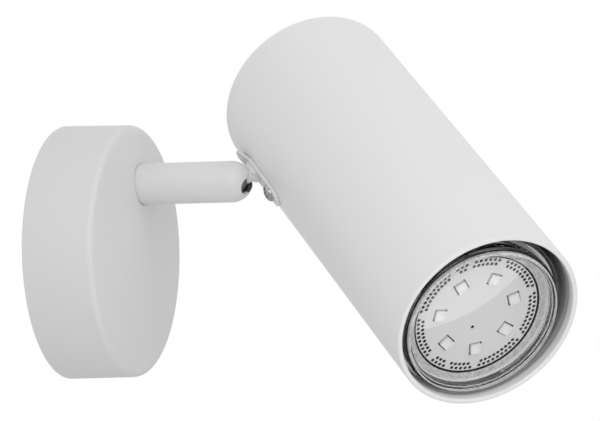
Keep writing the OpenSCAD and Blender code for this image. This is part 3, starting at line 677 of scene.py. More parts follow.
class Form:
    """A closed mesh in the making, in a local frame."""

    def __init__(self, mesh: bmesh.types.BMesh | None = None) -> None:
        """Start empty or on a mesh."""
        self.mesh = mesh or bmesh.new()

    @classmethod
    def revolved(cls, outline: Sequence[Point2], steps: int = 96) -> "Form":
        """Spin a closed outline round the z axis.

        Args:
            outline: Its (radius, height) points.
            steps: Faces round the form.

        Returns:
            The form.
        """
        made = cls()
        angles = [2 * math.pi * k / steps for k in range(steps)]
        spokes = [(math.cos(a), math.sin(a)) for a in angles]
        rings = []
        for radius, height in outline:
            around = [(0.0, 0.0)] if radius < ON_AXIS else spokes
            rings.append([
                made.mesh.verts.new((radius * x, radius * y, height)) for x, y in around
            ])
        for low, high in zip(rings, rings[1:] + rings[:1]):
            if len(low) == 1 and len(high) == 1:
                continue
            for k in range(steps):
                n = (k + 1) % steps
                corners = (
                    low[k % len(low)], low[n % len(low)], high[n % len(high)], high[k % len(high)]
                )
                made.mesh.faces.new(list(dict.fromkeys(corners)))
        return made.tidied()

    @classmethod
    def prism(cls, outline: Sequence[Point2], low: float, high: float) -> "Form":
        """Give a flat outline height along z.

        Args:
            outline: Its (x, y) points.
            low: The z of its foot.
            high: The z of its top.

        Returns:
            The form.
        """
        made = cls()
        face = made.mesh.faces.new([made.mesh.verts.new((x, y, low)) for x, y in outline])
        lifted = bmesh.ops.extrude_face_region(made.mesh, geom=[face])
        verts = [v for v in lifted["geom"] if isinstance(v, bmesh.types.BMVert)]
        bmesh.ops.translate(made.mesh, verts=verts, vec=(0.0, 0.0, high - low))
        return made.tidied()

    @classmethod
    def tapered(
        cls, foot: float, head: float, corner: float, low: float, high: float
    ) -> "Form":
        """A square block with rounded corners whose sides may lean.

        Args:
            foot: The side of its foot.
            head: The side of its top.
            corner: The radius of its corners.
            low: The z of its foot.
            high: The z of its top.

        Returns:
            The form.
        """
        half = foot / 2
        outline = [(x * half, y * half, corner) for x, y in ((-1, -1), (1, -1), (1, 1), (-1, 1))]
        made = cls.prism(rounded(outline, steps=3), low, high)
        for vert in made.mesh.verts:
            if vert.co.z > high - TOUCH:
                vert.co.xy *= head / foot
        return made

    @classmethod
    def rod(cls, radius: float, low: float, high: float, steps: int = 48) -> "Form":
        """A plain round cutter or core along z."""
        ring = arc((0.0, 0.0), radius, 0.0, 360.0 - 360.0 / steps, steps - 1)
        return cls.prism(ring, low, high)

    @classmethod
    def ball(cls, radius: float, steps: int) -> "Form":
        """A sphere.

        Args:
            radius: Its radius.
            steps: Faces round it.

        Returns:
            The form.
        """
        half = arc((0.0, 0.0), radius, -90.0, 90.0, steps // 2)
        half[0], half[-1] = (0.0, -radius), (0.0, radius)
        return cls.revolved(half, steps)

    def tidied(self) -> "Form":
        """Merge doubles and point the faces outwards.

        Returns:
            This form.
        """
        bmesh.ops.remove_doubles(self.mesh, verts=self.mesh.verts, dist=DOUBLES)
        bmesh.ops.recalc_face_normals(self.mesh, faces=self.mesh.faces)
        return self

    def at(self, place: Matrix) -> "Form":
        """Move the form."""
        bmesh.ops.transform(self.mesh, matrix=place, verts=self.mesh.verts)
        return self

    def beside(self, *others: "Form") -> "Form":
        """Add forms that stay separate solids.

        Args:
            others: The forms.

        Returns:
            This form.
        """
        for other in others:
            data = bpy.data.meshes.new("part")
            other.mesh.to_mesh(data)
            self.mesh.from_mesh(data)
            bpy.data.meshes.remove(data)
        return self

    def object(self, name: str) -> bpy.types.Object:
        """Put the form on the scene.

        Args:
            name: The name of its object and mesh.

        Returns:
            The object.
        """
        data = bpy.data.meshes.new(name)
        self.mesh.to_mesh(data)
        made = bpy.data.objects.new(name, data)
        bpy.context.scene.collection.objects.link(made)
        return made

    def combined(self, cut: Cut, *others: "Form") -> "Form":
        """Combine with other forms, one after the other.

        Args:
            cut: In what way.
            others: The other forms.

        Returns:
            The result, a new form.
        """
        target = self.object("target")
        tools = [other.object("tool") for other in others]
        for tool in tools:
            step = target.modifiers.new("combine", "BOOLEAN")
            step.operation = cut.value
            step.object = tool
            step.solver = "MANIFOLD"
        result = Form.evaluated(target)
        for spare in [target, *tools]:
            bpy.data.meshes.remove(spare.data)
        return result

    @classmethod
    def evaluated(cls, source: bpy.types.Object) -> "Form":
        """Apply an object's modifiers.

        Args:
            source: The object, which stays as it is.

        Returns:
            Its form.
        """
        graph = bpy.context.evaluated_depsgraph_get()
        data = bpy.data.meshes.new_from_object(source.evaluated_get(graph))
        made = cls()
        made.mesh.from_mesh(data)
        bpy.data.meshes.remove(data)
        return made

    def softened(self, width: float, steps: int, angle: float) -> "Form":
        """Round the sharp edges.

        Args:
            width: How wide the round is.
            steps: Faces across it.
            angle: How sharp an edge has to be, in degrees.

        Returns:
            This form.
        """
        mesh = self.mesh
        flat = math.radians(0.4)
        bmesh.ops.dissolve_limit(mesh, angle_limit=flat, verts=mesh.verts, edges=mesh.edges)
        least = math.radians(angle)
        sharp = [e for e in mesh.edges if e.is_manifold and e.calc_face_angle() > least]
        bmesh.ops.bevel(
            mesh, geom=sharp, offset=width, segments=steps, profile=0.5, affect="EDGES",
            clamp_overlap=True,
        )
        return self

    def fused(self, voxel: float, smooth: int) -> "Form":
        """Melt overlapping forms into one casting with soft joints.

        Args:
            voxel: The size of the smallest detail that stays.
            smooth: How often the surface is rubbed.

        Returns:
            The casting, a new form.
        """
        source = self.object("casting")
        melt = source.modifiers.new("melt", "REMESH")
        melt.mode = "VOXEL"
        melt.voxel_size = voxel
        rub = source.modifiers.new("rub", "SMOOTH")
        rub.factor = 0.5
        rub.iterations = smooth
        result = Form.evaluated(source)
        bpy.data.meshes.remove(source.data)
        return result

    def marked(self, number: int, chosen: Callable[[Vector], bool]) -> "Form":
        """Give some faces another of the piece's finishes.

        Args:
            number: The finish's number among the piece's others, from 1.
            chosen: Whether the face at a place gets it.

        Returns:
            This form.
        """
        for face in self.mesh.faces:
            if chosen(face.calc_center_median()):
                face.material_index = number
        return self

    def piece(
        self, name: str, place: Matrix, finish: Finish, body: Body, *nodes: str,
        sharp: float = 34.0, others: Sequence[Finish] = (),
    ) -> None:
        """Finish the form as a piece of the object.

        Args:
            name: The piece's name.
            place: Its local frame on the object.
            finish: What its surface is.
            body: What it moves with.
            nodes: The CAD nodes that it stands for.
            sharp: Edges past this angle stay crisp.
            others: Finishes of the faces that were marked, from number 1.
        """
        self.at(place)
        self.at(Matrix.Scale(MM, 4))
        for face in self.mesh.faces:
            face.smooth = True
        for edge in self.mesh.edges:
            edge.smooth = edge.is_manifold and edge.calc_face_angle() < math.radians(sharp)
        made = self.object(name)
        for each in (finish, *others):
            made.data.materials.append(each.material())
        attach(made, body.value)
        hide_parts(*nodes)
        LOG.info("%s: %d faces on %s", name, len(made.data.polygons), body.value)


def joint(name: str) -> dict:
    """A joint of the frame by its name."""
    return next(j for j in frame["joints"] if j["name"] == name)


def frame_of(origin: Vector, x: Vector, z: Vector) -> Matrix:
    """A local frame from its origin and two axes."""
    columns = Matrix((x, z.cross(x), z)).transposed().to_4x4()
    return Matrix.Translation(origin) @ columns


@dataclass(frozen=True)
class Places:
    """The local frames of the spotlight, read from the frame's joints."""

    stand: float = 37.6
    foot: float = 110.5
    recess: float = 0.8
    off_x: float = 1.3
    off_y: float = 0.8

    def wall(self) -> Matrix:
        """z straight out of the wall, y up."""
        return turn(90, "X")

    def ball(self) -> Matrix:
        """The frame of the ball and its plate.

        Returns:
            z along the neck to the tube, x towards the tube's mouth.
        """
        tilt = joint("head_tilt")
        out = Vector(joint("bulb_twist")["axis"]).normalized()
        pin = Vector(tilt["axis"]).normalized()
        return frame_of(Vector(tilt["pos_m"]) / MM, out, pin.cross(out))

    def slot(self) -> Matrix:
        """The frame of the arm's round end.

        Returns:
            z along the arm at the ball's centre, y across the slot.
        """
        tilt = joint("head_tilt")
        pin = Vector(tilt["axis"]).normalized()
        out = Vector((0.0, -1.0, 0.0))
        return frame_of(Vector(tilt["pos_m"]) / MM, pin.cross(out), out)

    def head(self) -> Matrix:
        """z out of the tube's mouth from its rim, x towards the arm."""
        return self.ball() @ shift(x=self.foot, z=self.stand) @ turn(90, "Y")

    def bulb(self) -> Matrix:
        """z out of the bulb's face."""
        return self.head() @ shift(self.off_x, self.off_y, -self.recess)


@dataclass(frozen=True)
class SoftBox:
    """A square lamp: its direction in parts of the camera's right, up and back, then its size."""

    name: str
    toward: Corner
    reach: float
    side: float
    power: float


@dataclass
class Studio:
    """Floor, lamps, background and camera, in metres."""

    azimuth: float = -71.664
    elevation: float = -4.228
    distance: float = 1.2
    aside: float = 0.072866
    above: float = 0.013284
    sensor: float = 36.0
    lens: float = 227.3
    near: float = 0.05
    far: float = 20.0
    floor_z: float = -0.32
    floor_half: float = 3.0
    floor_low: float = 0.86
    floor_high: float = 0.88
    fibre: float = 60.0
    ambient: float = 0.66
    middle: Corner = (-0.01, -0.09, 0.0)
    boxes: tuple[SoftBox, ...] = (
        SoftBox("key_box", (0.75, 0.75, 0.5), 1.1, 0.7, 1.5),
        SoftBox("front_box", (0.0, 0.3, 1.0), 1.6, 0.9, 4.9),
    )
    card_at: Corner = (-0.0835, -0.3045, -0.1926)
    card_toward: Corner = (0.1308, -0.6022, -0.7875)
    card_radius: float = 0.0649
    card_glow: float = 5.5

    def axes(self) -> tuple[Vector, Vector, Vector]:
        """The camera's directions.

        Returns:
            Right, up and back.
        """
        a, e = math.radians(self.azimuth), math.radians(self.elevation)
        back = Vector((math.sin(a) * math.cos(e), -math.cos(a) * math.cos(e), math.sin(e)))
        right = Vector((math.cos(a), math.sin(a), 0.0))
        return right, back.cross(right), back

    def camera(self) -> None:
        """Set the camera at the photographed angle."""
        right, up, back = self.axes()
        data = bpy.data.cameras.new("camera")
        data.sensor_width = self.sensor
        data.lens = self.lens
        data.clip_start, data.clip_end = self.near, self.far
        made = bpy.data.objects.new("camera", data)
        made.matrix_world = Matrix((right, up, back)).transposed().to_4x4()
        made.location = right * self.aside + up * self.above + back * self.distance
        bpy.context.scene.collection.objects.link(made)
        bpy.context.scene.camera = made

    def aim(self, made: bpy.types.Object, place: Vector, toward: Vector) -> None:
        """Put something at a place, with its back toward a direction.

        Args:
            made: The thing.
            place: Where it goes.
            toward: The direction.
        """
        made.location = place
        made.rotation_mode = "QUATERNION"
        made.rotation_quaternion = toward.to_track_quat("Z", "Y")

    def lamp(self, box: SoftBox) -> None:
        """Add a soft box that looks at the object's middle.

        Args:
            box: The soft box.
        """
        data = bpy.data.lights.new(box.name, "AREA")
        data.shape = "RECTANGLE"
        data.size = data.size_y = box.side
        data.energy = box.power
        made = bpy.data.objects.new(box.name, data)
        toward = sum((axis * part for axis, part in zip(self.axes(), box.toward)), Vector())
        self.aim(made, Vector(self.middle) + toward.normalized() * box.reach, toward)
        bpy.context.scene.collection.objects.link(made)

    def card(self) -> None:
        """Hold up a round bright card that only glossy surfaces see."""
        mesh = bmesh.new()
        bmesh.ops.create_circle(mesh, cap_ends=True, segments=96, radius=self.card_radius)
        made = Form(mesh).object("low_disc")
        self.aim(made, Vector(self.card_at), Vector(self.card_toward))
        material, bench = new_material("low_disc")
        bench.surface(bench.add("ShaderNodeEmission", {}, {"Strength": self.card_glow}))
        made.data.materials.append(material)
        for ray in ("camera", "diffuse", "transmission", "shadow"):
            setattr(made, f"visible_{ray}", False)

    def floor(self) -> None:
        """Lay the pale floor."""
        mesh = bmesh.new()
        bmesh.ops.create_grid(mesh, x_segments=1, y_segments=1, size=self.floor_half)
        made = Form(mesh).object("floor")
        made.location = (0.0, 0.0, self.floor_z)
        material, bench = new_material("floor_paper")
        fibre = bench.noise(bench.object_point(), self.fibre, 3.0)
        tint = bench.blend(fibre, grey(self.floor_low), grey(self.floor_high))
        bench.surface(bench.principled(Base_Color=tint, Roughness=0.9))
        made.data.materials.append(material)

    def world(self) -> None:
        """White to the eye and in glass and metal, plain ambient light otherwise."""
        world = bpy.data.worlds.new("studio")
        world.use_nodes = True
        bench = Bench(world.node_tree)
        path = bench.add("ShaderNodeLightPath")
        glossy, clear = path.out("Is Glossy Ray"), path.out("Is Transmission Ray")
        seen = path.out("Is Camera Ray").top(glossy).top(clear)
        strength = self.ambient + seen * (1.0 - self.ambient)
        sky = bench.add("ShaderNodeBackground", {}, {"Color": WHITE, "Strength": strength})
        bench.add("ShaderNodeOutputWorld", {}, {"Surface": sky})
        bpy.context.scene.world = world

    def build(self) -> None:
        """Set up the whole studio."""
        self.camera()
        self.floor()
        self.world()
        for box in self.boxes:
            self.lamp(box)
        self.card()
        bpy.context.scene.view_settings.view_transform = "Standard"


@dataclass
class CanopyShell:
    """Round shell on the wall, with a seat for the arm."""

    radius: float = 40.0
    depth: float = 23.0
    draft: float = 0.9
    dome: float = 2.1
    wall: float = 1.6
    fillet: float = 2.0
    least_fillet: float = 0.4
    inner_break: float = 0.2
    outer_break: float = 0.35
    arm_up: float = 21.1
    seat_out: float = 23.87
    seat_radius: float = 6.7
    hole_radius: float = 5.05
    boss_radius: float = 9.0
    boss_depth: float = 1.81
    boss_gap: float = 0.05
    screw_out: float = 8.0
    screw_radius: float = 1.94
    cutter_top: float = 9.0

    def outline(self, inset: float) -> list[Point2]:
        """Draw the half section of the outside, or of the inside when it is drawn in.

        Args:
            inset: How far it is drawn in.

        Returns:
            The section's points, from the wall to the axis.
        """
        fillet = max(self.fillet - inset, self.least_fillet)
        lean = math.tan(math.radians(self.draft))
        base = self.radius - (self.depth - self.fillet) * lean - inset - fillet
        drop = self.radius - self.depth * lean - self.fillet
        sphere = (drop**2 + self.dome**2) / (2 * self.dome)
        tilt = 90.0 - math.degrees(math.asin(base / sphere))
        middle = self.depth + self.dome - inset - sphere
        crown = arc((0.0, middle), sphere, tilt, 90.0, steps=24)
        crown[-1] = (0.0, crown[-1][1])
        round_edge = arc((base, crown[0][1] - fillet), fillet, 0.0, tilt, steps=8)
        return [(self.radius - inset, 0.0), *round_edge[:-1], *crown]

    def build(self, places: Places) -> None:
        """Make the shell.

        Args:
            places: The spotlight's local frames.
        """
        outer = self.outline(0.0)
        inner = self.outline(self.wall)
        rim = [(*inner[0], self.inner_break), (*outer[0], self.outer_break), (*outer[1], 0.0)]
        rim = rounded(rim, steps=4)[:-1]
        shell = Form.revolved([*rim, *outer[1:], *reversed(inner[1:])], steps=160)
        foot, high = self.seat_out - self.boss_depth, self.depth + self.cutter_top
        boss = Form.rod(self.boss_radius, foot, self.seat_out - self.boss_gap, steps=64)
        seat = Form.rod(self.seat_radius, self.seat_out, high, steps=96)
        hole = Form.rod(self.hole_radius, 0, high, steps=64)
        for tool in (boss, seat, hole):
            tool.at(shift(y=self.arm_up))
        screws = [
            Form.rod(self.screw_radius, self.radius - PAST, self.radius + PAST, steps=32)
            .at(turn(-90 * side, "X")).at(shift(z=self.screw_out))
            for side in (-1, 1)
        ]
        shell = shell.combined(Cut.TOGETHER, boss).combined(Cut.AWAY, seat, hole, *screws)
        shell.piece("canopy_shell", places.wall(), CANOPY_COAT, Body.BASE, "canopy")


@dataclass
class ArmStem:
    """Short tube with a slotted round end."""

    radius: float = 6.5
    wall: float = 1.3
    chamfer: float = 0.25
    seat_out: float = 23.87
    ball_out: float = 54.4
    slot: float = 5.2
    slot_from: float = 0.7
    slot_past: float = 3.0
    slot_slack: float = 0.004
    slot_edge: float = 0.22
    bore_shade_skin: float = 0.05
    tilt_from: float = -24.3
    tilt_to: float = 90.3

    def build(self, places: Places) -> None:
        """Make the stem, cut its slot and break its edges.

        Args:
            places: The spotlight's local frames.
        """
        inner = self.radius - self.wall
        base = self.seat_out - self.ball_out
        dome = arc((0, 0), self.radius, 0, 90, steps=24)
        hollow = arc((0, 0), inner, 90, 0, steps=24)
        dome[-1], hollow[0] = (0.0, self.radius), (0.0, inner)
        foot = [(self.radius - self.chamfer, base), (self.radius, base + self.chamfer)]
        stem = Form.revolved([*foot, *dome, *hollow, (inner, base)], steps=128)
        half = self.slot / 2
        start, reach = inner * self.slot_from, self.radius + self.slot_past
        ends = [
            Form.rod(half, start, reach).at(turn(tilt, "Y"))
            for tilt in (self.tilt_from, self.tilt_to)
        ]
        # The slab is a hair thinner than the round ends, so that no two cutting faces meet.
        first, last = 90 - self.tilt_from, 90 - self.tilt_to
        fan = [(0.0, 0.0), *arc((0, 0), 2 * reach, first, last, steps=6)]
        thick = half - self.slot_slack
        slab = Form.prism(fan, -thick, thick).at(turn(90, "X"))
        stem = stem.combined(Cut.AWAY, slab, *ends)
        stem.softened(self.slot_edge, steps=2, angle=35)
        # The faces inside the bore get a near-black finish: painted shade.
        bore_shade_radius = inner + self.bore_shade_skin
        stem.marked(1, lambda at: math.hypot(at.x, at.y, max(at.z, 0.0)) < bore_shade_radius)
        stem.piece(
            "arm_stem", places.slot(), ARM_COAT, Body.ARM, "arm_tube", sharp=40,
            others=[BORE_PAINTED_SHADE],
        )


@dataclass
class BallNeck:
    """Ball, neck and saddle plate in one casting, with its screw."""

    ball: float = 4.9
    ball_skin: float = 0.06
    neck_half: float = 2.9
    neck_thick: float = 4.6
    flare: float = 1.3
    flare_inset: float = 0.3
    stand: float = 8.6
    plate: float = 1.0
    plate_half: float = 3.0
    fore: float = 18.9
    aft: float = 12.2
    lift: float = 7.0
    tongue: float = 1.7
    sink: float = 0.2
    spigot: float = 2.4
    spigot_top: float = 2.4
    tube_radius: float = 29.05
    tube_gap: float = 0.05
    bore: float = 1.6
    funnel: float = 3.2
    voxel: float = 0.14
    rubs: int = 6
    screw_x: float = 13.0
    head_radius: float = 2.75
    head_height: float = 1.6
    crown: tuple[Point2, ...] = ((0, 1), (0.45, 0.97), (0.75, 0.8), (0.93, 0.5), (1, 0.2))
    shank: float = 1.45
    shank_length: float = 5.7
    shank_tip: float = 1.0
    shank_point: float = 0.5
    cross_half: float = 1.4
    cross_thin: float = 0.32
    cross_deep: float = 0.75
    cross_turn: float = 20.0

    def solids(self) -> Form:
        """Set the casting's parts into each other.

        Returns:
            Ball, neck, the neck's flared foot, plate, rear wing and spigot.
        """
        low, half, wide = self.stand - self.plate, self.plate_half, self.neck_half
        thick = self.neck_thick / 2
        side = wide - thick
        ends = arc((side, 0), thick, -90, 90, steps=16)
        ends += arc((-side, 0), thick, 90, 270, steps=16)
        neck = Form.prism(ends, 0.0, self.stand - self.sink)
        spread = self.flare
        flared = [
            (-wide - spread, low + 2 * self.sink), (wide + spread, low + 2 * self.sink),
            *arc((wide + spread, low - spread), spread, 90, 180, steps=6),
            *arc((-wide - spread, low - spread), spread, 0, 90, steps=6),
        ]
        deep = thick - self.flare_inset
        foot = Form.prism(flared, -deep, deep).at(turn(90, "X"))
        nose = arc((self.fore - half, 0), half, -90, 90, steps=24)
        front = [(-half, -half), *nose, (-half, half)]
        hollow = self.tube_radius - math.sqrt(self.tube_radius**2 - half**2)
        tube = Form.rod(self.tube_radius, -30, 30, steps=360).at(turn(90, "Y"))
        tube.at(shift(z=self.stand - self.tube_gap + self.tube_radius))
        plate = Form.prism(front, low, self.stand + hollow).combined(Cut.AWAY, tube)
        thin = self.tongue
        tip = arc((-(self.aft - half - thin), 0), thin, 90, 270, steps=24)
        wing = Form.prism([(self.sink, half), *tip, (self.sink, -half)], 0.0, self.plate)
        wing.at(shift(-half, 0, low) @ turn(-self.lift, "Y"))
        spigot = Form.rod(self.spigot, low + self.sink, self.stand + self.spigot_top, steps=64)
        return Form.ball(self.ball, steps=96).beside(neck, foot, plate, wing, spigot)

    def casting(self) -> Form:
        """Melt the parts into one casting and drill it.

        Returns:
            The casting.
        """
        solid = self.solids().fused(self.voxel, self.rubs)
        low, high = -self.ball, self.stand
        bore = Form.rod(self.bore, low - 1, high + 6)
        mouth = low - 0.05
        cone = [(0, mouth), (self.funnel, mouth), (self.bore, 0), (0, 0)]
        eye = Form.rod(self.bore, high - self.plate - 1, high + 1).at(shift(self.screw_x))
        return solid.combined(Cut.AWAY, bore, Form.revolved(cone, steps=48), eye)

    def screw(self) -> Form:
        """Turn the pan head with its shank and cut the cross recess.

        Returns:
            The screw.
        """
        head = [(self.head_radius * x, -self.head_height * y) for x, y in self.crown]
        end = self.shank_length
        shank = [
            (self.head_radius, 0), (self.shank, 0), (self.shank, end - self.shank_point),
            (self.shank_tip, end), (0, end),
        ]
        body = Form.revolved([*head, *shank], steps=64)
        long, thin, top = self.cross_half, self.cross_thin, -self.head_height
        bar = [(-long, -thin), (long, -thin), (long, thin), (-long, thin)]
        cross = [
            Form.prism(bar, top - 1, top + self.cross_deep).at(turn(a + self.cross_turn, "Z"))
            for a in (0, 90)
        ]
        place = shift(self.screw_x, 0, self.stand - self.plate)
        return body.combined(Cut.AWAY, *cross).at(place)

    def build(self, places: Places) -> None:
        """Make the casting and its screw.

        Args:
            places: The spotlight's local frames.
        """
        ball_shade_radius = self.ball + self.ball_skin
        # The ball's faces get the dark steel finish, painted shade of the slot's inside.
        casting = self.casting().marked(1, lambda at: at.length < ball_shade_radius)
        casting.piece(
            "ball_neck", places.ball(), ARM_COAT, Body.HEAD, "knuckle", sharp=50,
            others=[SHADED_BALL_STEEL],
        )
        self.screw().piece(
            "saddle_screw", places.ball(), NICKEL_PAINTED_REFLECTION, Body.HEAD, "plate_screw", sharp=30
        )


@dataclass
class TubeHead:
    """Plain tube that shades the bulb, with its rear cover."""

    radius: float = 29.0
    wall: float = 1.6
    length: float = 134.0
    edge: float = 0.45
    neck_z: float = -110.5
    neck_hole: float = 2.6
    screw_z: float = -97.5
    screw_hole: float = 1.6
    cover_gap: float = 0.08
    cover_wall: float = 1.5
    cover_skirt: float = 7.0
    cover_inset: float = 0.5

    def build(self, places: Places) -> None:
        """Make the tube and the cover.

        Args:
            places: The spotlight's local frames.
        """
        bore = self.radius - self.wall
        wall = [(bore, -self.length), (self.radius, -self.length), (self.radius, 0.0), (bore, 0.0)]
        tube = Form.revolved(rounded([(*corner, self.edge) for corner in wall]), steps=224)
        holes = [
            Form.rod(radius, bore - PAST, self.radius + PAST, steps)
            .at(turn(90, "Y")).at(shift(z=z))
            for radius, steps, z in (
                (self.neck_hole, 64, self.neck_z), (self.screw_hole, 32, self.screw_z)
            )
        ]
        tube = tube.combined(Cut.AWAY, *holes)
        # The bore's faces get painted shade that deepens from the mouth.
        tube.marked(1, section((0.0, -self.length + 1), (bore + 0.2, -self.edge * 0.9)))
        depth = tube.mesh.verts.layers.float.new("depth")
        for vert in tube.mesh.verts:
            vert[depth] = -vert.co.z
        tube.piece(
            "tube_shade", places.head(), TUBE_COAT, Body.HEAD, "head_tube",
            others=[TUBE_INSIDE_SHADE],
        )
        outer, thick, skirt = bore - self.cover_gap, self.cover_wall, self.cover_skirt
        inner = outer - thick
        cover = rounded([
            (0, 0, 0), (outer, 0, 0.6), (outer, skirt, 0.2), (inner, skirt, 0.2),
            (inner, thick, 0.5), (0, thick, 0),
        ])
        disc = Form.revolved(cover, steps=160).at(shift(z=-self.length + self.cover_inset))
        disc.piece("rear_cover", places.head(), TUBE_COAT, Body.HEAD, "rear_cap")


class Pattern:
    """A geometry tree with named inputs, run once on a form."""

    def __init__(self, name: str, sizes: dict[str, float | int]) -> None:
        """Start the tree.

        Args:
            name: Its name.
            sizes: Its named inputs, and the value that each one gets.
        """
        self.tree = bpy.data.node_groups.new(name, "GeometryNodeTree")
        self.bench = Bench(self.tree)
        interface = self.tree.interface
        for way in ("INPUT", "OUTPUT"):
            interface.new_socket("Geometry", in_out=way, socket_type="NodeSocketGeometry")
        self.values: dict[str, float | int] = {}
        for label, value in sizes.items():
            kind = "NodeSocketInt" if isinstance(value, int) else "NodeSocketFloat"
            socket = interface.new_socket(label, in_out="INPUT", socket_type=kind)
            self.values[socket.identifier] = value
        self.given = self.bench.add("NodeGroupInput")
        self.index = self.bench.add("GeometryNodeInputIndex")

    def ringed(
        self, shape: Wire, count: Wire, radius: Wire, angle: Wire, kept: Wire | bool = True
    ) -> Wire:
        """Set copies of a shape on a ring.

        Args:
            shape: The shape.
            count: How many copies.
            radius: The ring's radius.
            angle: Each copy's angle, from its number.
            kept: Which copies stay.

        Returns:
            The copies.
        """
        bench = self.bench
        line = bench.add("GeometryNodeMeshLine", {}, {"Count": count})
        spot = {"X": angle.cosine() * radius, "Y": angle.sine() * radius}
        place = bench.add("ShaderNodeCombineXYZ", {}, spot)
        moved = {"Geometry": line, "Position": place}
        points = bench.add("GeometryNodeSetPosition", {}, moved)
        spin = bench.add("ShaderNodeCombineXYZ", {}, {"Z": angle})
        return bench.add("GeometryNodeInstanceOnPoints", {}, {
            "Points": points, "Selection": kept, "Instance": shape, "Rotation": spin,
        })

    def close(self, shape: Wire, finish: Finish) -> None:
        """End the tree: realize, set the material, give it out.

        Args:
            shape: The geometry.
            finish: Its finish.
        """
        solid = self.bench.add("GeometryNodeRealizeInstances", {}, {0: shape})
        paint = {"Geometry": solid, "Material": finish.material()}
        dressed = self.bench.add("GeometryNodeSetMaterial", {}, paint)
        self.bench.add("NodeGroupOutput", {}, {0: dressed})

    def run(self, source: Form) -> Form:
        """Run the tree on a form.

        Args:
            source: The form.

        Returns:
            The plain result.
        """
        carrier = source.object("carrier")
        step = carrier.modifiers.new("pattern", "NODES")
        step.node_group = self.tree
        for identifier, value in self.values.items():
            step[identifier] = value
        result = Form.evaluated(carrier)
        carrier.modifiers.clear()
        bpy.data.meshes.remove(carrier.data)
        return result


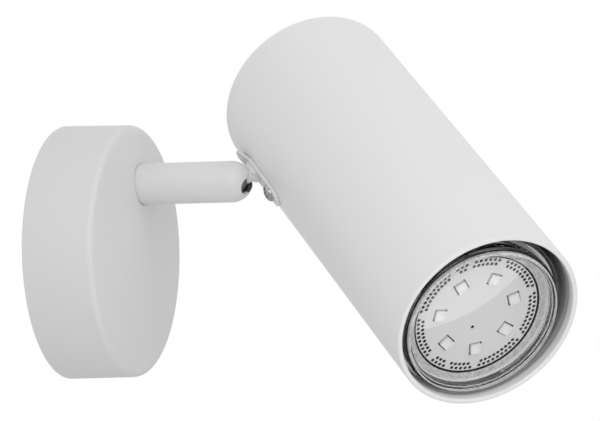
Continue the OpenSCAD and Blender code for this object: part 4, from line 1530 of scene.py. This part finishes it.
@dataclass
class Bulb:
    """Reflector bulb: glass cup, lens, perforated cover and light chips."""

    radius: float = 24.8
    length: float = 49.0
    rim: float = 5.2
    rim_wall: float = 2.2
    rim_front: float = 1.65
    base_radius: float = 11.0
    base_length: float = 11.0
    cup_wall: float = 1.5
    lens_radius: float = 24.0
    lens_back: float = 1.6
    lens_face: float = 0.4
    cover_radius: float = 20.0
    cover_edge: float = 19.6
    cover_deep: float = 5.0
    cover_thick: float = 0.8
    ledge_up: float = 0.6
    seat_down: float = 0.85
    sheet: float = 0.3
    windows: int = 7
    window_ring: float = 12.2
    window_side: float = 4.05
    window_turn: float = 24.0
    vent_size: float = 0.58
    vent_step: float = 4.7
    outer_row: float = 18.8
    inner_row: float = 17.4
    outer_count: int = 10
    outer_blanks: tuple[int, int] = (4, 46)
    inner_blanks: tuple[int, int] = (3, 42)
    spot: Corner = (2.2, 3.8, 0.0)
    chip_side: float = 3.25
    chip_corner: float = 0.25
    chip_foot: float = 1.0
    chip_rise: float = 0.7
    pocket_side: float = 2.5
    pocket_deep: float = 0.4
    pocket_lean: float = 0.2

    @property
    def bore(self) -> float:
        """Radius of the rim's inner wall."""
        return self.radius - self.rim_wall

    @property
    def ledge(self) -> float:
        """Height of the ledge round the cover."""
        return -self.cover_deep + self.ledge_up

    @property
    def seat(self) -> float:
        """Height of the seat under the cover's edge."""
        return -self.cover_deep - self.seat_down

    def flare(self, start: float, end: float, low: float, high: float) -> list[Point2]:
        """Section of the cup below its rim.

        Args:
            start: Its radius at the base.
            end: Its radius at the rim.
            low: The height of the base.
            high: The height of the rim.

        Returns:
            The points, from the base to the rim.
        """
        steps = 16
        parts = [k / steps for k in range(steps + 1)]
        return [
            (start + (end - start) * math.sin(math.pi / 2 * part) ** 0.8, low + (high - low) * part)
            for part in parts
        ]

    def cup(self) -> Form:
        """Turn the glass cup with its stepped rim.

        Returns:
            The cup.
        """
        low, high = -self.length + self.base_length, -self.rim
        full, bore, held = self.radius, self.bore, self.cover_radius
        front, ledge, seat = -self.rim_front, self.ledge, self.seat
        outside = self.flare(self.base_radius + 0.6, full - 1, low, high)
        rim = rounded([
            (full - 0.9, high, 0), (full, high + 1, 0.5), (full, front - 0.6, 0.4),
            (full - 0.6, front, 0.2), (bore + 0.95, front, 0), (bore + 0.65, front, 0),
            (bore + 0.35, front, 0), (bore + 0.15, front, 0.1),
            (bore - 0.05, front - 0.35, 0.1), (bore - 0.05, front - 0.85, 0.1),
            (bore + 0.1, front - 1, 0.1), (bore, ledge + 0.9, 0.2), (bore - 0.5, ledge, 0.3),
            (held + 0.7, ledge, 0.2), (held + 0.15, ledge - 0.3, 0.1), (held + 0.15, seat, 0),
            (held - 1.2, seat, 0.3), (full - 2.6, high - 0.4, 0),
        ], steps=3)
        floor = low + self.cup_wall
        inside = self.flare(self.base_radius - 0.9, full - 2.6, floor, high - 0.4)
        outline = [(0, low), *outside, *rim[1:-1], *inside[-2::-1], (0, floor)]
        return Form.revolved(outline, steps=144)

    def lens(self) -> Form:
        """Turn the clear front with its raised ring.

        Returns:
            The lens.
        """
        # The corner at r - 1.9 keeps the shading of the flat face level up to its edge.
        r, back, face = self.lens_radius, -self.lens_back, -self.lens_face
        outline = rounded([
            (0, back, 0), (r, back, 0.15), (r, face, 0.2), (r - 0.6, 0, 0.15),
            (r - 1.2, 0, 0.15), (r - 1.7, face, 0.1), (r - 1.9, face, 0), (0, face, 0),
        ], steps=3)
        return Form.revolved(outline, steps=144)

    def row(self, pattern: Pattern, vent: Wire, count: Wire, side: str) -> Wire:
        """Set a row of vents in each sector between two windows, less the row's two blanks.

        Args:
            pattern: The cover's pattern.
            vent: A vent's outline.
            count: How many vents in a sector.
            side: Which row, as its inputs are named.

        Returns:
            The vents.
        """
        given, index = pattern.given, pattern.index
        sector = (index / count).floor()
        place = index - sector * count
        angle = given.out("Window Turn") + (sector + 0.5) * given.out("Sector")
        angle = angle + (place - (count - 1) * 0.5) * given.out("Vent Step")
        blank, other = (given.out(f"{side} Blank {mark}") for mark in "AB")
        kept = 1.0 - index.equals(blank) - index.equals(other)
        total = count * given.out("Windows")
        return pattern.ringed(vent, total, given.out(f"{side} Row"), angle, kept)

    def cover(self) -> Form:
        """Fill outline, windows and vents as one flat sheet, then give it thickness.

        Returns:
            The perforated cover.
        """
        pattern = Pattern("vent_cover", {
            "Radius": self.cover_edge,
            "Thickness": self.sheet,
            "Windows": self.windows,
            "Window Ring": self.window_ring,
            "Window Side": self.window_side,
            "Window Turn": math.radians(self.window_turn),
            "Sector": 2 * math.pi / self.windows,
            "Vent Radius": self.vent_size,
            "Vent Step": math.radians(self.vent_step),
            "Outer Row": self.outer_row,
            "Inner Row": self.inner_row,
            "Outer Count": self.outer_count,
            "Outer Blank A": self.outer_blanks[0],
            "Outer Blank B": self.outer_blanks[1],
            "Inner Blank A": self.inner_blanks[0],
            "Inner Blank B": self.inner_blanks[1],
        })
        bench, given = pattern.bench, pattern.given
        edge, vent = (
            bench.add("GeometryNodeCurvePrimitiveCircle", {}, {"Resolution": n, "Radius": size})
            for n, size in ((144, given.out("Radius")), (14, given.out("Vent Radius")))
        )
        side = given.out("Window Side")
        square = {"Width": side, "Height": side}
        window = bench.add("GeometryNodeCurvePrimitiveQuadrilateral", {}, square)
        angle = given.out("Window Turn") + pattern.index * given.out("Sector")
        windows = pattern.ringed(
            window, given.out("Windows"), given.out("Window Ring"), angle
        )
        count = given.out("Outer Count")
        rows = [
            self.row(pattern, vent, count, "Outer"), self.row(pattern, vent, count - 1, "Inner")
        ]
        moved = {"Geometry": vent, "Translation": self.spot}
        spot = bench.add("GeometryNodeTransform", {}, moved)
        curves = bench.join(edge, windows, *rows, spot)
        real = bench.add("GeometryNodeRealizeInstances", {}, {0: curves})
        sheet = bench.add("GeometryNodeFillCurve", {"mode": "TRIANGLES"}, {0: real})
        lift = {"Mesh": sheet, "Offset Scale": given.out("Thickness"), "Individual": False}
        raised = bench.add("GeometryNodeExtrudeMesh", {}, lift)
        both = bench.join(raised, bench.add("GeometryNodeFlipFaces", {}, {0: sheet}))
        merge = {"Geometry": both, "Distance": TOUCH}
        pattern.close(bench.add("GeometryNodeMergeByDistance", {}, merge), COVER_PLASTIC)
        return pattern.run(Form()).tidied().at(shift(z=-self.cover_deep - self.sheet))

    def chips(self) -> Form:
        """Set a light chip with a sunk face under each window.

        Returns:
            The chips.
        """
        foot = self.cover_thick + self.chip_foot
        top = foot + self.chip_rise
        chip = Form.tapered(self.chip_side, self.chip_side, self.chip_corner, 0.0, top)
        side, lean = self.pocket_side, self.pocket_lean
        pocket = Form.tapered(side, side + lean, 0.2, top - self.pocket_deep, top + 0.2)
        chip = chip.combined(Cut.AWAY, pocket)
        pattern = Pattern("chip_ring", {
            "Count": self.windows,
            "Ring": self.window_ring,
            "Turn": math.radians(self.window_turn),
        })
        given = pattern.given
        angle = given.out("Turn") + pattern.index * (2 * math.pi / self.windows)
        shape = given.out("Geometry")
        ring = pattern.ringed(shape, given.out("Count"), given.out("Ring"), angle)
        pattern.close(ring, PHOSPHOR)
        return pattern.run(chip).at(shift(z=-self.cover_deep - foot))

    def build(self, places: Places) -> None:
        """Make the visible pieces of the bulb.

        Args:
            places: The spotlight's local frames.
        """
        at, bore, held = places.bulb(), self.bore, self.cover_radius
        ledge, seat = self.ledge, self.seat
        # Corners of the half section: each finish gets the faces whose middles lie between them.
        behind, before = -self.rim_front - 0.05, -self.rim_front + 0.05
        zones = {
            FROSTED_AND_HIGHLIGHT_GLASS: [((held + 0.4, ledge - 0.3), (bore - 0.4, ledge + 0.2))],
            # Near-black seat under the cover's edge and ring on the rim's front face: painted
            # shade.
            BOARD_AND_GLASS_SHADE: [
                ((held - 1.2, seat - 0.1), (held + 0.2, ledge - 0.3)),
                ((bore + 0.95, behind), (self.radius - 0.5, before)),
            ],
            # Thin pale rings on the ledge's wall and the rim's front face: painted highlights.
            GLINT_RING_GLASS: [
                ((bore - 0.4, ledge), (bore + 0.05, ledge + 0.8)),
                ((bore + 0.35, behind), (bore + 0.65, before)),
            ],
        }
        cup = self.cup()
        for number, corners in enumerate(zones.values(), 1):
            for low, high in corners:
                cup.marked(number, section(low, high))
        cup.piece(
            "bulb_shell", at, CLEAR_GLASS, Body.BULB, "bulb_glass", sharp=28, others=list(zones)
        )
        # The lens's edge gets the pale frosted finish: a painted highlight ring.
        edge = (self.lens_radius - 0.45, -self.lens_back - 0.1), (self.lens_radius + 1, -0.02)
        self.lens().marked(1, section(*edge)).piece(
            "front_lens", at, LENS_GLASS, Body.BULB, "bulb_lens", sharp=28,
            others=[FROSTED_AND_HIGHLIGHT_GLASS],
        )
        self.cover().piece("light_cover", at, COVER_PLASTIC, Body.BULB, "led_cover")
        self.chips().piece("light_chips", at, PHOSPHOR, Body.BULB, "led_chips")


def dress_frame() -> None:
    """Give every CAD node its finish, whether it stays in view or not."""
    finishes = {name: finish for finish, names in NODES_OF.items() for name in names}
    for name, node in frame["nodes"].items():
        node.data.materials.clear()
        node.data.materials.append(finishes[name].material())


def main() -> None:
    """Build the studio and every piece."""
    logging.basicConfig(level=logging.INFO, format="%(message)s")
    places = Places()
    Studio().build()
    dress_frame()
    for assembly in (CanopyShell(), ArmStem(), BallNeck(), TubeHead(), Bulb()):
        assembly.build(places)
        LOG.info("%s is done", type(assembly).__name__)


if __name__ == "__main__":
    main()
